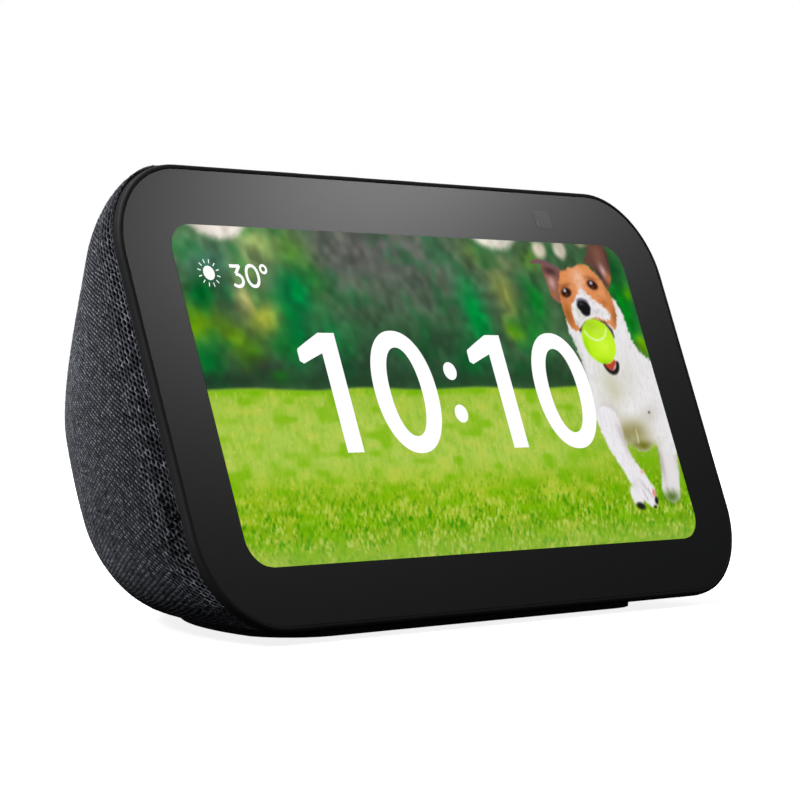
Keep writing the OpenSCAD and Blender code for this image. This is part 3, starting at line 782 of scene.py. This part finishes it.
def smooth_loop(outline, steps=5):
    """A closed curve through the points."""
    p = np.asarray(outline, float)
    before, after, beyond = np.roll(p, 1, axis=0), np.roll(p, -1, axis=0), np.roll(p, -2, axis=0)
    curve = []
    for t in np.arange(steps) / steps:
        curve.append(
            0.5 * (2 * p + (after - before) * t + (2 * before - 5 * p + 4 * after - beyond) * t ** 2
                   + (3 * p - before - 3 * after + beyond) * t ** 3)
        )
    return np.stack(curve, 1).reshape(-1, 2)


def paint_meadow(p):
    """Blurred trees, with sky between them at the top."""
    x, z = p.x, p.z
    p.rgb[:] = (70, 100, 70)
    # trees: soft masses of foliage
    p.glows(
        ((112, 108, 108), -12, 27, 34, 10, 0.95), ((90, 98, 88), -6, 19, 24, 8, 0.8),
        ((52, 86, 60), -8, 8, 30, 9, 0.9), ((44, 70, 52), -14, 4, 22, 4, 0.7),
        ((100, 130, 98), -58, 27, 9, 6, 0.9), ((64, 112, 96), -53, 23.5, 8, 4, 0.8),
        ((158, 176, 116), -41, 28, 6, 5, 1.0), ((140, 160, 104), -45.5, 22.5, 4.5, 3.5, 0.8),
        ((96, 140, 60), -33, 26.5, 5, 5, 0.8), ((60, 126, 50), -29, 21, 3.5, 5, 0.5),
        ((4, 112, 54), -37, 13, 5, 10, 1.0, -18), ((0, 124, 62), -34.5, 19, 4, 4, 0.9),
        ((6, 104, 50), -28, 11, 4, 5, 0.5), ((122, 156, 26), -61, 12.5, 6, 4, 1.0, 12),
        ((6, 92, 40), -57.5, 18, 4.2, 3.2, 1.0, 35), ((10, 92, 54), -51, 18, 2.2, 2.6, 0.85),
        ((178, 176, 122), -47, 17, 4.4, 3.8, 1.0, 25), ((164, 172, 76), -44, 13.4, 4.8, 3.4, 0.95, 15),
        ((104, 142, 30), -52, 10, 6, 3.4, 0.8, -30), ((70, 124, 32), -49, 6.5, 5, 3, 0.7, 30),
        ((10, 92, 40), -60, 5.5, 5, 5, 0.9), ((30, 96, 44), -41, 8.5, 4, 3, 0.8),
        ((46, 54, 46), -46, 4.4, 6, 2.6, 0.95), ((40, 50, 46), -57, 2.0, 9, 1.6, 0.9),
        ((34, 128, 34), -43.5, 2.8, 2.8, 1.4, 0.9), ((38, 66, 52), -30, 4, 6, 3.4, 0.8),
        ((46, 132, 72), -22, 11, 2.5, 3, 0.4), ((8, 124, 58), 12.5, 15, 4.2, 8.5, 1.0, 8),
        ((22, 100, 50), 8, 6, 5.5, 5, 0.8), ((118, 148, 88), 16, 28, 4.5, 3.5, 0.8),
        ((158, 168, 98), 22.5, 19.5, 3.8, 6.5, 1.0, 12), ((144, 158, 116), 24, 26, 4.2, 3, 0.8),
        ((36, 116, 48), 28, 12, 4, 6, 0.8, 20), ((112, 152, 28), 22.5, 12, 3.2, 2.2, 0.9, -25),
        ((34, 66, 40), 27, 4.6, 9, 3.2, 0.85), ((14, 120, 40), 31.5, 18.5, 3, 5, 0.85),
        ((96, 136, 54), 33, 27, 4, 3, 0.6), ((10, 118, 30), 58, 17, 4.5, 12, 1.0),
        ((92, 160, 24), 60.5, 20.5, 1.6, 1.8, 0.8), ((116, 164, 16), 60.5, 9.5, 2.4, 2.6, 0.9),
        ((16, 74, 38), 57.5, 25.5, 3, 3, 0.7),
    )
    # gaps and clumps in the leaves
    gaps = value_noise(x + 0.3 * z, z, 4.4, 14) * 0.7 + value_noise(x, z, 1.8, 17) * 0.3
    p.lay(0.35 * smooth_step((gaps - 0.5) * 3), (16, 96, 44))
    p.lay(0.3 * smooth_step((0.42 - gaps) * 4), (44, 54, 46))
    # sky between the leaves
    p.patch((222, 214, 206), [
        (-57, 32.5), (-43.5, 32.5), (-44.4, 30), (-46.4, 28.9), (-49.4, 28.4), (-52.4, 28.9), (-55, 30),
    ], 1.0, 0.15)
    p.patch((216, 212, 200), [
        (16.5, 32.5), (29.5, 32.5), (28.4, 30), (25.4, 28.9), (22, 29.2), (19, 30),
    ], 1.0, 0.15)
    p.blob((204, 196, 180), 36.5, 29.3, 1.9, 1.8, soft=0.9)
    p.blob((208, 200, 186), 42.8, 29.6, 1.9, 2.0, soft=0.8)
    p.blob((176, 166, 140), 50, 30.8, 1.2, 0.5, soft=0.6)
    # leaf mottle
    leaves = value_noise(x, z, 5.0, 1) * 0.5 + value_noise(x, z, 1.6, 2) * 0.5
    p.rgb *= (0.74 + 0.44 * leaves)[..., None]
    grey = p.rgb.mean(axis=-1, keepdims=True)
    p.rgb = np.clip(grey + 1.25 * (p.rgb - grey), 0, 255)
    # shade at the foot of the trees
    shade = np.exp(-((z - 2.2) / 1.9) ** 2) * smooth_step((x + 64) / 8) * 0.65
    p.lay(shade, (34, 62, 38))


def paint_lawn(p):
    """Grass that gets darker and sharper towards the viewer."""
    x, z = p.x, p.z
    ground = smooth_step((1.0 + 0.25 * np.sin(x * 0.21) - z) / 0.9)
    depth = np.clip(-z / 30.9, 0, 1)
    p.lay(ground, (160, 194, 66))
    p.lay(ground * smooth_step(depth / 0.22) * 0.7, (172, 202, 80))
    p.lay(ground * smooth_step((depth - 0.4) / 0.25), (146, 182, 22))
    p.lay(ground * smooth_step((depth - 0.62) / 0.25), (122, 168, 10))
    p.lay(ground * 0.6 * smooth_step((x - 20) / 30) * smooth_step(depth / 0.5), (104, 160, 0))
    p.lay(ground * np.exp(-((z - 0.2) / 0.7) ** 2) * 0.9, (126, 186, 18))
    # blades: long thin flecks that get sharper and larger towards the viewer
    near = smooth_step((depth - 0.45) / 0.35)
    lean = x + 0.18 * z
    fine = value_noise(lean, z * 0.6, 0.42, 5) * 0.6 + value_noise(x - 0.5 * z, z * 0.4, 0.38, 6) * 0.6
    p.lay(ground * (0.3 + 0.1 * near) * flecks(x, z * 2.2, 5.0, 7, 0.5, 2), (186, 206, 70))
    p.lay(ground * 0.25 * flecks(x, z * 0.35, 0.8, 18, 0.5, 3), (120, 176, 20))
    p.lay(ground * (0.10 + 0.7 * near) * smooth_step((0.5 - fine) * 6), (44, 132, 8))
    p.lay(ground * (0.14 + 0.6 * near) * smooth_step((fine - 0.7) * 6), (192, 214, 112))
    p.lay(ground * 0.5 * flecks(x, z, 0.5, 19, 0.86, 12), (226, 206, 100))
    p.lay(ground * 0.4 * flecks(x, z * 2.2, 3.6, 15, 0.6, 2.4), (204, 204, 84))
    p.lay(ground * 0.6 * flecks(x, z * 2.2, 3.6, 15, 0.5, -2.4), (112, 178, 0))
    p.lay(ground * near * 0.3 * flecks(x * 0.9, z * 1.6, 2.6, 8, 0.42, -5), (84, 150, 8))
    p.lay(ground * smooth_step((depth - 0.78) / 0.2) * 0.45, (166, 190, 96))


def paint_dog_body(p):
    white, shadow = (232, 230, 232), (188, 184, 176)
    # far hind paw and the near leg on the right
    p.blob(white, 45.3, -21.8, 1.7, 2.2, 20, 0.3, 0.15)
    p.blob((28, 34, 30), 45.7, -23.8, 1.3, 0.75, -10, 0.3)
    p.limb((226, 222, 224), [
        (59.5, -6, 3.6), (58.8, -14, 2.6), (57.4, -18.5, 2.7), (56.6, -20.8, 2.7),
    ], 0.3, 0.2)
    p.glows(
        ((170, 164, 156), 56.0, -15.5, 0.9, 4.5, 0.7, -8),
        ((196, 190, 184), 61.0, -14.0, 0.7, 5.0, 0.6, -8),
    )
    for top, tip in (((55.4, -20.4), (55.9, -21.8)), ((57.2, -20.6), (57.5, -22.0))):
        p.limb((160, 154, 148), [(*top, 0.12), (*tip, 0.1)], 0.25)
    p.glow((70, 104, 24), 56.2, -22.3, 2.8, 1.5, 0.9)
    # trunk, from the neck down to the belly
    p.within = p.patch(white, [
        (39.0, 15), (39.5, 9.5), (40.2, 4), (40.0, -2), (39.7, -8), (43.5, -10.5), (47, -11.2),
        (51.5, -12.7), (55.8, -11.2), (58, -12.5), (62.5, -13), (64, -4), (62.6, 4.6), (60.6, 7),
        (58.3, 9.2), (57.4, 12.5), (57, 16), (55, 19.6), (46, 21),
    ], 0.3, 0.35)
    p.glows(
        ((196, 196, 166), 47.5, 0.5, 4.2, 5.5, 0.75, 12), ((206, 204, 190), 53.5, 3, 3, 6, 0.4, -20),
        ((240, 238, 242), 51, -4.2, 3.2, 2.8, 0.8), ((196, 188, 178), 44.2, -4.2, 3.2, 2.0, 0.7, -25),
        ((200, 196, 188), 56.5, -5.0, 3.8, 2.0, 0.7, 25), ((150, 142, 84), 50.5, -8.6, 5.0, 3.0, 0.95),
        ((104, 108, 22), 51.5, -11.6, 4.6, 1.5, 0.95), ((116, 110, 40), 47.5, -9.2, 1.6, 2.2, 0.6),
        ((206, 206, 200), 40.3, 6, 0.8, 7, 0.6),
    )
    p.lay(0.22 * flecks(p.x * 1.6, p.z * 0.6, 0.5, 9, 0.5, 3), shadow)
    p.within = 1.0
    p.limb((214, 214, 170), [(50.6, -10.8, 0.18), (50.9, -8.2, 0.1)], 0.25)
    p.blob((96, 92, 86), 56.6, -4.7, 0.35, 0.3, 0, 0.2)
    hairs = flecks(p.x * 1.5 + 0.5 * p.z, p.z * 0.5, 0.4, 16, 0.5, 4)
    # near front leg and its paw
    p.within = p.limb((236, 233, 238), [
        (43.0, -6.5, 3.3), (43.4, -10.5, 2.9), (45.2, -15, 2.35), (47.2, -18.6, 2.7), (48.9, -21.0, 2.5),
        (49.6, -22.6, 1.6),
    ], 0.3, 0.2)
    p.glows(
        ((196, 190, 186), 46.6, -11.5, 1.3, 4, 0.6, 20), ((206, 202, 204), 45.8, -19.4, 1.6, 1.4, 0.5),
        ((182, 176, 168), 46.2, -9.6, 0.9, 3.2, 0.7, 15),
        ((190, 184, 180), 48.4, -19.6, 0.5, 1.8, 0.6, 30),
    )
    p.lay(0.22 * hairs, (190, 184, 180))
    for top, tip in (((47.6, -20.6), (48.4, -22.6)), ((49.4, -20.4), (50.0, -22.2))):
        p.limb((168, 160, 158), [(*top, 0.12), (*tip, 0.1)], 0.25)
    p.within = 1.0
    p.blob((232, 170, 160), 49.0, -16.9, 0.5, 0.35, 0, 0.25)
    p.blob((226, 130, 122), 50.9, -21.4, 0.45, 0.9, 0, 0.25)
    p.blob((26, 30, 28), 51.0, -22.9, 0.55, 0.8, -20, 0.2)
    p.blob((26, 34, 28), 50.1, -24.1, 0.5, 0.35, 0, 0.2)


def paint_dog_ears(p):
    brown = (100, 66, 58)
    p.within = p.patch((146, 98, 84), [
        (36.0, 26.2), (41.2, 25.4), (40.4, 22), (39.2, 18.2), (37.4, 18.6), (36.3, 20), (36.0, 23),
    ], 0.25, 0.1)
    p.glows(
        ((70, 44, 50), 38.0, 24.8, 2.6, 1.2, 0.95, -10), ((204, 168, 166), 37.6, 22.4, 1.1, 1.5, 0.8),
        ((164, 104, 60), 37.0, 19.8, 1.2, 1.1, 0.8), ((86, 54, 50), 39.6, 21.2, 0.7, 2.6, 0.7, -15),
    )
    p.within = 1.0
    p.patch((116, 84, 88), [
        (32.6, 26.3), (34.2, 27.2), (36.4, 27.2), (38.6, 26.6), (41.2, 25.2), (38.6, 25.6), (35.6, 26.3),
    ], 0.15)
    p.within = p.patch(brown, [
        (49.4, 27.2), (51.2, 29.2), (53.0, 31.4), (57.0, 31.2), (57.4, 28), (57.0, 24.6),
        (55.8, 22.4), (54.6, 21.6), (52.6, 24.6), (50.8, 26.6),
    ], 0.25, 0.1)
    p.glows(
        ((132, 86, 70), 54.4, 28.8, 2.0, 2.6, 0.8, 10),
        ((214, 178, 176), 54.8, 25.2, 1.0, 1.9, 0.85, 20),
        ((186, 112, 66), 56.0, 23.6, 1.2, 1.6, 0.9, 10), ((64, 42, 44), 57.2, 28.0, 0.5, 3.2, 0.7),
        ((64, 42, 44), 53.3, 24.6, 0.5, 1.8, 0.7, 30),
    )
    p.within = 1.0


def paint_dog_head(p):
    p.within = p.patch((222, 142, 88), [
        (41.5, 24.9), (45.0, 25.8), (49.0, 26.6), (51.6, 25.1), (53.6, 22.6), (55.0, 19.6),
        (55.2, 16.4), (53.4, 12.8), (51.5, 14), (46, 15), (42, 12.6), (40.2, 12.6), (39.1, 14.6),
        (38.8, 18), (39.4, 21.8),
    ], 0.25, 0.25)
    p.glows(
        ((240, 188, 154), 46.2, 23.8, 2.6, 2.2, 0.9), ((236, 196, 174), 46.0, 21.4, 1.4, 2.0, 0.7),
        ((226, 152, 100), 52.4, 20.6, 2.4, 2.0, 0.6), ((156, 88, 34), 40.0, 15.6, 1.8, 3.4, 0.85),
        ((150, 88, 42), 54.6, 15.2, 1.5, 3.4, 0.8), ((176, 104, 54), 39.6, 21.0, 1.0, 2.2, 0.7),
        ((184, 112, 60), 54.2, 21.2, 0.9, 2.4, 0.7), ((128, 70, 40), 41.2, 21.8, 1.9, 0.5, 0.7, 12),
        ((128, 70, 40), 50.2, 23.6, 1.9, 0.5, 0.7, -10), ((164, 92, 44), 52.2, 18.4, 1.6, 1.2, 0.6),
        ((168, 96, 48), 42.8, 18.6, 0.9, 1.0, 0.6), ((168, 104, 60), 42.2, 22.2, 1.0, 0.5, 0.5, 15),
        ((176, 110, 66), 49.0, 23.6, 0.9, 0.6, 0.5, -15),
    )
    p.lay(0.3 * flecks(p.x, p.z * 1.3, 0.6, 10, 0.55, 4), (190, 116, 62))
    p.within = 1.0
    # muzzle
    p.within = p.patch((236, 233, 236), [
        (46.0, 21.3), (44.2, 19.9), (42.6, 18.6), (41.6, 16.9), (41.3, 14.8), (42.4, 13.0), (44.4, 14.2),
        (47.0, 15.2), (50.0, 15.0), (52.4, 14.6), (52.9, 16.2), (51.2, 17.9), (49.0, 19.2), (47.6, 20.4),
    ], 0.3, 0.3)
    p.glows(
        ((206, 204, 190), 43.4, 16.2, 1.0, 1.6, 0.7, 20), ((196, 192, 180), 42.0, 13.8, 1.0, 1.0, 0.7),
        ((204, 198, 202), 48.6, 16.6, 1.8, 0.7, 0.7, -15), ((214, 206, 204), 46.6, 20.4, 0.9, 1.0, 0.5),
    )
    p.lay(0.35 * flecks(p.x * 1.4, p.z, 0.5, 13, 0.5, 4), (186, 178, 170))
    p.within = 1.0
    # eyes
    for cx, cz, turn in ((41.2, 20.4, 12), (50.1, 22.2, -10)):
        p.blob((92, 50, 34), cx, cz, 1.7, 1.05, turn, 0.3)
        p.blob((34, 20, 18), cx, cz, 1.3, 0.85, turn, 0.2)
        p.blob((84, 46, 30), cx, cz - 0.35, 0.6, 0.35, turn, 0.2)
        p.blob((190, 190, 208), cx - 0.3, cz + 0.4, 0.42, 0.3, 0, 0.15)
    # nose
    p.blob((96, 92, 104), 45.4, 18.5, 1.7, 0.8, -5, 0.3)
    p.blob((22, 22, 25), 45.4, 17.5, 2.05, 1.25, -5, 0.2)
    p.blob((22, 22, 25), 45.6, 16.6, 1.5, 1.1, 0, 0.2)
    p.glow((86, 88, 96), 44.8, 18.1, 0.8, 0.3, 0.7)


def paint_ball(p):
    """The ball, and the dark of the mouth round it."""
    p.limb((44, 36, 28), [
        (42.3, 12.4, 0.3), (44.5, 14.1, 0.2), (47.5, 14.8, 0.15), (50.6, 14.2, 0.25),
        (52.0, 12.6, 0.4), (52.2, 11.2, 0.2),
    ], 0.35)
    p.limb((32, 28, 28), [(x, z, 0.5) for x, z in arc(48.9, 6.0, 2.1, 2.3, 195, 350)], 0.25)
    p.limb((188, 66, 42), [(47.6, 5.2, 0.5), (48.8, 4.9, 0.7), (50.2, 6.0, 0.4)], 0.25)
    p.within = p.blob((186, 238, 28), 47.1, 10.25, 4.95, 4.7)
    p.glows(
        ((212, 250, 70), 48.2, 9.2, 3.6, 2.6, 0.8), ((164, 206, 44), 45.6, 13.6, 3.4, 1.6, 0.9, -8),
        ((198, 232, 84), 47.6, 12.3, 2.4, 0.9, 0.7), ((140, 206, 8), 47.0, 5.4, 4.0, 1.2, 0.8),
        ((148, 210, 10), 42.8, 9.0, 1.0, 3.0, 0.7),
    )
    p.lay(0.25 * flecks(p.x, p.z, 0.4, 12, 0.5, 3), (166, 220, 10))
    p.limb((232, 246, 190), [(x, z, 0.17) for x, z in arc(46.8, 13.6, 3.7, 3.1, 205, 345)], 0.18)
    p.within = 1.0


def screen_picture():
    """A dense sheet just above the glass, with the picture's colour at each vertex."""
    pitch = 0.3
    columns, rows = round(SCREEN_W / pitch) + 1, round(SCREEN_H / pitch) + 1
    z = np.linspace(-SCREEN_H / 2, SCREEN_H / 2, rows)
    over = np.clip(np.abs(z) - (SCREEN_H / 2 - SCREEN_R), 0, SCREEN_R)
    half = SCREEN_W / 2 - SCREEN_R + np.sqrt(SCREEN_R ** 2 - over ** 2)
    x = np.linspace(-1, 1, columns)[None, :] * half[:, None]
    z = np.broadcast_to(z[:, None], x.shape)
    p = Picture(x, z)
    paint_meadow(p)
    paint_lawn(p)
    paint_dog_body(p)
    paint_dog_ears(p)
    paint_dog_head(p)
    paint_ball(p)
    piece = new_piece(
        "screen_picture", on_panel(x, z, GLASS_D - 0.03), grid_faces(rows, columns), picture_material(),
    )
    layer = piece.data.color_attributes.new("picture", "FLOAT_COLOR", "POINT")
    colours = np.ones((x.size, 4), np.float32)
    colours[:, :3] = linear(np.clip(p.rgb, 0, 255).reshape(-1, 3))
    layer.data.foreach_set("color", colours.ravel())


# ---------- figures over the picture ----------

FIGURE_D = GLASS_D - 0.06


class Figures:
    """Flat white shapes on the screen, gathered into one piece."""

    def __init__(self):
        self.points, self.quads = [], []

    def band(self, inner, outer, closed=True):
        """The strip between two lines of points."""
        start = sum(len(p) for p in self.points)
        count = len(inner)
        this = np.arange(count if closed else count - 1)
        after = (this + 1) % count
        self.points += [np.asarray(inner, float), np.asarray(outer, float)]
        self.quads.append(np.stack([this, after, after + count, this + count], 1) + start)

    def oval(self, cx, cz, outer, inner, power=2.0):
        """A ring between two ovals, each (half width, half height); an inner of 0 makes a disc."""
        c, s = squared_turn(power)
        self.band(*[np.stack([cx + w * c, cz + h * s], 1) for w, h in (inner, outer)])

    def stroke(self, line, width):
        """A line of constant width through the points."""
        p = np.asarray(line, float)
        along = np.gradient(p, axis=0)
        along /= np.linalg.norm(along, axis=1)[:, None]
        aside = np.stack([-along[:, 1], along[:, 0]], 1) * width / 2
        self.band(p - aside, p + aside, closed=False)

    def finish(self, name, material):
        x, z = np.concatenate(self.points).T
        quads = seen_from_front(x, z, np.concatenate(self.quads))
        piece = new_piece(name, on_panel(x, z, FIGURE_D), quads, material, smooth=False)


def big_one(figures, left):
    """A 1: a stem and a flag that rises to its top."""
    right, foot, top = left + 4.2, -11.2, 11.2
    figures.band([(left, foot), (left, top - 0.5)], [(right, foot), (right, top)], closed=False)
    flag_low = [(left - 5.2, 5.4), (left - 2.6, 6.4), (left + 0.1, 7.4)]
    flag_high = [(left - 5.9, 8.2), (left - 3.2, 9.6), (left + 0.1, 11.2)]
    figures.band(flag_low, flag_high, closed=False)
    flag_end = [(left - 6.1, 7.8), (left - 5.9, 8.2)]
    figures.band([(left - 6.1, 5.9), (left - 5.2, 5.4)], flag_end, closed=False)
    figures.band([(left, top - 0.5), (right, top - 0.5)], [(left + 0.1, top), (right, top)], closed=False)


def clock_figures(material):
    """The time, and the weather in the corner."""
    figures = Figures()
    big_one(figures, -31.8)
    big_one(figures, 13.0)
    for cx in (-12.6, 32.1):
        figures.oval(cx, 0.05, (8.3, 11.75), (4.2, 8.5), 2.15)
    for cz in (4.0, -4.3):
        figures.oval(0.7, cz, (1.75, 1.75), (0, 0))
    figures.finish("clock_figures", material)

    small = Figures()
    sun_x, sun_z = -54.5, 21.95
    small.oval(sun_x, sun_z, (1.32, 1.32), (0, 0))
    for k in range(12):
        a = math.radians(15 + 30 * k)
        ray = [(sun_x + r * math.cos(a), sun_z + r * math.sin(a)) for r in (1.85, 2.2, 2.6)]
        small.stroke(ray, 0.2)
    stroke = 0.62
    small.stroke([(-49.25, 23.4), (-48, 23.4), (-46.8, 23.4)], stroke)
    small.stroke([(-46.85, 23.5), (-47.5, 22.75), (-48.2, 21.95)], stroke)
    small.stroke([(-48.15, 21.95)] + arc(-48.05, 20.75, 1.35, 1.15, 88, -140), stroke)
    small.oval(-44.15, 21.65, (1.7, 2.25), (1.08, 1.63), 2.2)
    small.oval(-41.15, 23.0, (0.95, 0.95), (0.47, 0.47))
    small.finish("weather_figures", material)


# ---------- small parts of the front ----------

def front_patch(name, material, x, z, quads, lift):
    """A flat piece a little in front of the glass."""
    x, z = np.concatenate(x), np.concatenate(z)
    quads = seen_from_front(x, z, np.concatenate(quads))
    piece = new_piece(name, on_panel(x, z, GLASS_D - lift), quads, material, smooth=False)


def camera_window():
    """The clear patch in the black print, with a painted glint standing for the lens behind it."""
    s = Shader("camera_window")
    s.colour(s.noise(1.2, 2.0), [(0.35, (60, 60, 61)), (0.65, (68, 66, 68))])
    s.roughness(s.noise(0.9), 0.27, 0.285)
    c, t = squared_turn(7)
    x = [CAMERA_X + w * c for w in (0.2, 2.2, 2.4)]
    z = [CAMERA_UP + h * t for h in (0.1, 1.65, 1.85)]
    rings = [ring_faces(len(c)), ring_faces(len(c), len(c))]
    front_patch("camera_window", s.material, x, z, rings + [middle_faces(len(c))], 0.05)

    # painted highlight: a light grey spot on a flat patch, standing for the glint of the lens
    glint = Shader("lens_glint", Roughness=0.3)
    glint.colour(glint.noise(0.4), [(0.3, (120, 120, 124)), (0.7, (150, 150, 155))])
    c, t = squared_turn(2)
    x = [CAMERA_X - 1.85 + r * c for r in (0.03, 0.15)]
    z = [CAMERA_UP - 0.9 + r * t for r in (0.1, 0.45)]
    front_patch("lens_glint", glint.material, x, z, [ring_faces(len(c)), middle_faces(len(c))], 0.08)


# ---------- stage ----------

def camera():
    """A long lens, from the front left."""
    data = bpy.data.cameras.new("camera")
    data.lens = 128.75
    data.sensor_width = 36
    data.clip_start = 0.01
    data.clip_end = 20
    piece = linked("camera", data)
    azimuth, pitch = 47.19, -0.58
    piece.location = (-0.3928, -0.3816, 0.0457)
    piece.rotation_euler = (math.radians(90 + pitch), 0, -math.radians(azimuth))
    bpy.context.scene.camera = piece


def softbox(name, place, size, power, colour=(1, 1, 1), target=(0, 0, 0.045), roll=0):
    data = bpy.data.lights.new(name, "AREA")
    data.shape = "RECTANGLE"
    data.size, data.size_y = size
    data.energy = power
    data.color = colour
    piece = linked(name, data)
    piece.location = place
    direction = Vector(target) - Vector(place)
    turn = direction.to_track_quat("-Z", "Y").to_matrix() @ Matrix.Rotation(math.radians(roll), 3, "Z")
    piece.rotation_euler = turn.to_euler()


def only_camera_sees(tree, bright, other, output):
    """One shader for what the camera sees directly, another for every other ray."""
    path = add_node(tree, "ShaderNodeLightPath")
    mix = add_node(tree, "ShaderNodeMixShader")
    tree.links.new(path.outputs["Is Camera Ray"], mix.inputs["Fac"])
    tree.links.new(other, mix.inputs[1])
    tree.links.new(bright, mix.inputs[2])
    tree.links.new(mix.outputs["Shader"], output)


def studio():
    """A white room for the camera, a dim one for the object, and four soft lights."""
    scene = bpy.context.scene
    scene.view_settings.view_transform = "Standard"
    world = bpy.data.worlds.new("studio")
    scene.world = world
    world.use_nodes = True
    tree = world.node_tree
    white = tree.nodes["Background"]
    white.inputs["Strength"].default_value = 1.0
    white.inputs["Color"].default_value = (1, 1, 1, 1)
    fill = add_node(tree, "ShaderNodeBackground", Color=(0.9, 0.94, 1.0, 1), Strength=0.08)
    only_camera_sees(
        tree, white.outputs["Background"], fill.outputs["Background"],
        tree.nodes["World Output"].inputs["Surface"],
    )

    floor_mesh = bpy.data.meshes.new("floor")
    reach = 6.0
    corners = [(-reach, -reach, 0), (reach, -reach, 0), (reach, reach, 0), (-reach, reach, 0)]
    floor_mesh.from_pydata(corners, [], [(0, 1, 2, 3)])
    floor = linked("floor", floor_mesh)
    s = Shader("floor", Roughness=0.9, Specular_IOR_Level=0.0, Emission_Color=(1, 1, 1, 1))
    s.colour(s.noise(400), [(0.3, (228, 228, 230)), (0.7, (232, 232, 234))])
    # the floor glows: a little less round the object, fully white further out
    away = s.add("ShaderNodeVectorMath")
    away.operation = "LENGTH"
    s.link(s.place, away.inputs[0])
    beyond = s.add("ShaderNodeMapRange", From_Min=0.07, From_Max=0.16, To_Min=0.86)
    s.link(away.outputs["Value"], beyond.inputs["Value"])
    s.link(beyond.outputs["Result"], s.bsdf.inputs["Emission Strength"])
    dull = s.add("ShaderNodeBsdfDiffuse", Color=(0.05, 0.05, 0.05, 1))
    only_camera_sees(
        s.tree, s.bsdf.outputs["BSDF"], dull.outputs["BSDF"],
        s.tree.nodes["Material Output"].inputs["Surface"],
    )
    floor_mesh.materials.append(s.material)

    softbox("front_box", (0.744, -0.506, 0.595), (0.11, 0.05), 0.57, target=(0, -0.019, 0.076), roll=-42)
    softbox("left_box", (-0.95, 0.10, 0.95), (0.6, 0.6), 15.0, (0.97, 0.98, 1.0))
    softbox("top_box", (-0.1, 0.35, 1.1), (0.9, 0.6), 9.0)
    softbox("right_box", (1.1, 0.5, 0.5), (0.6, 0.6), 3.0)


camera()
studio()
materials = finishes()
dress_nodes(materials)
knitted_sleeve(materials)
screen_picture()
clock_figures(lit_white_material())
camera_window()
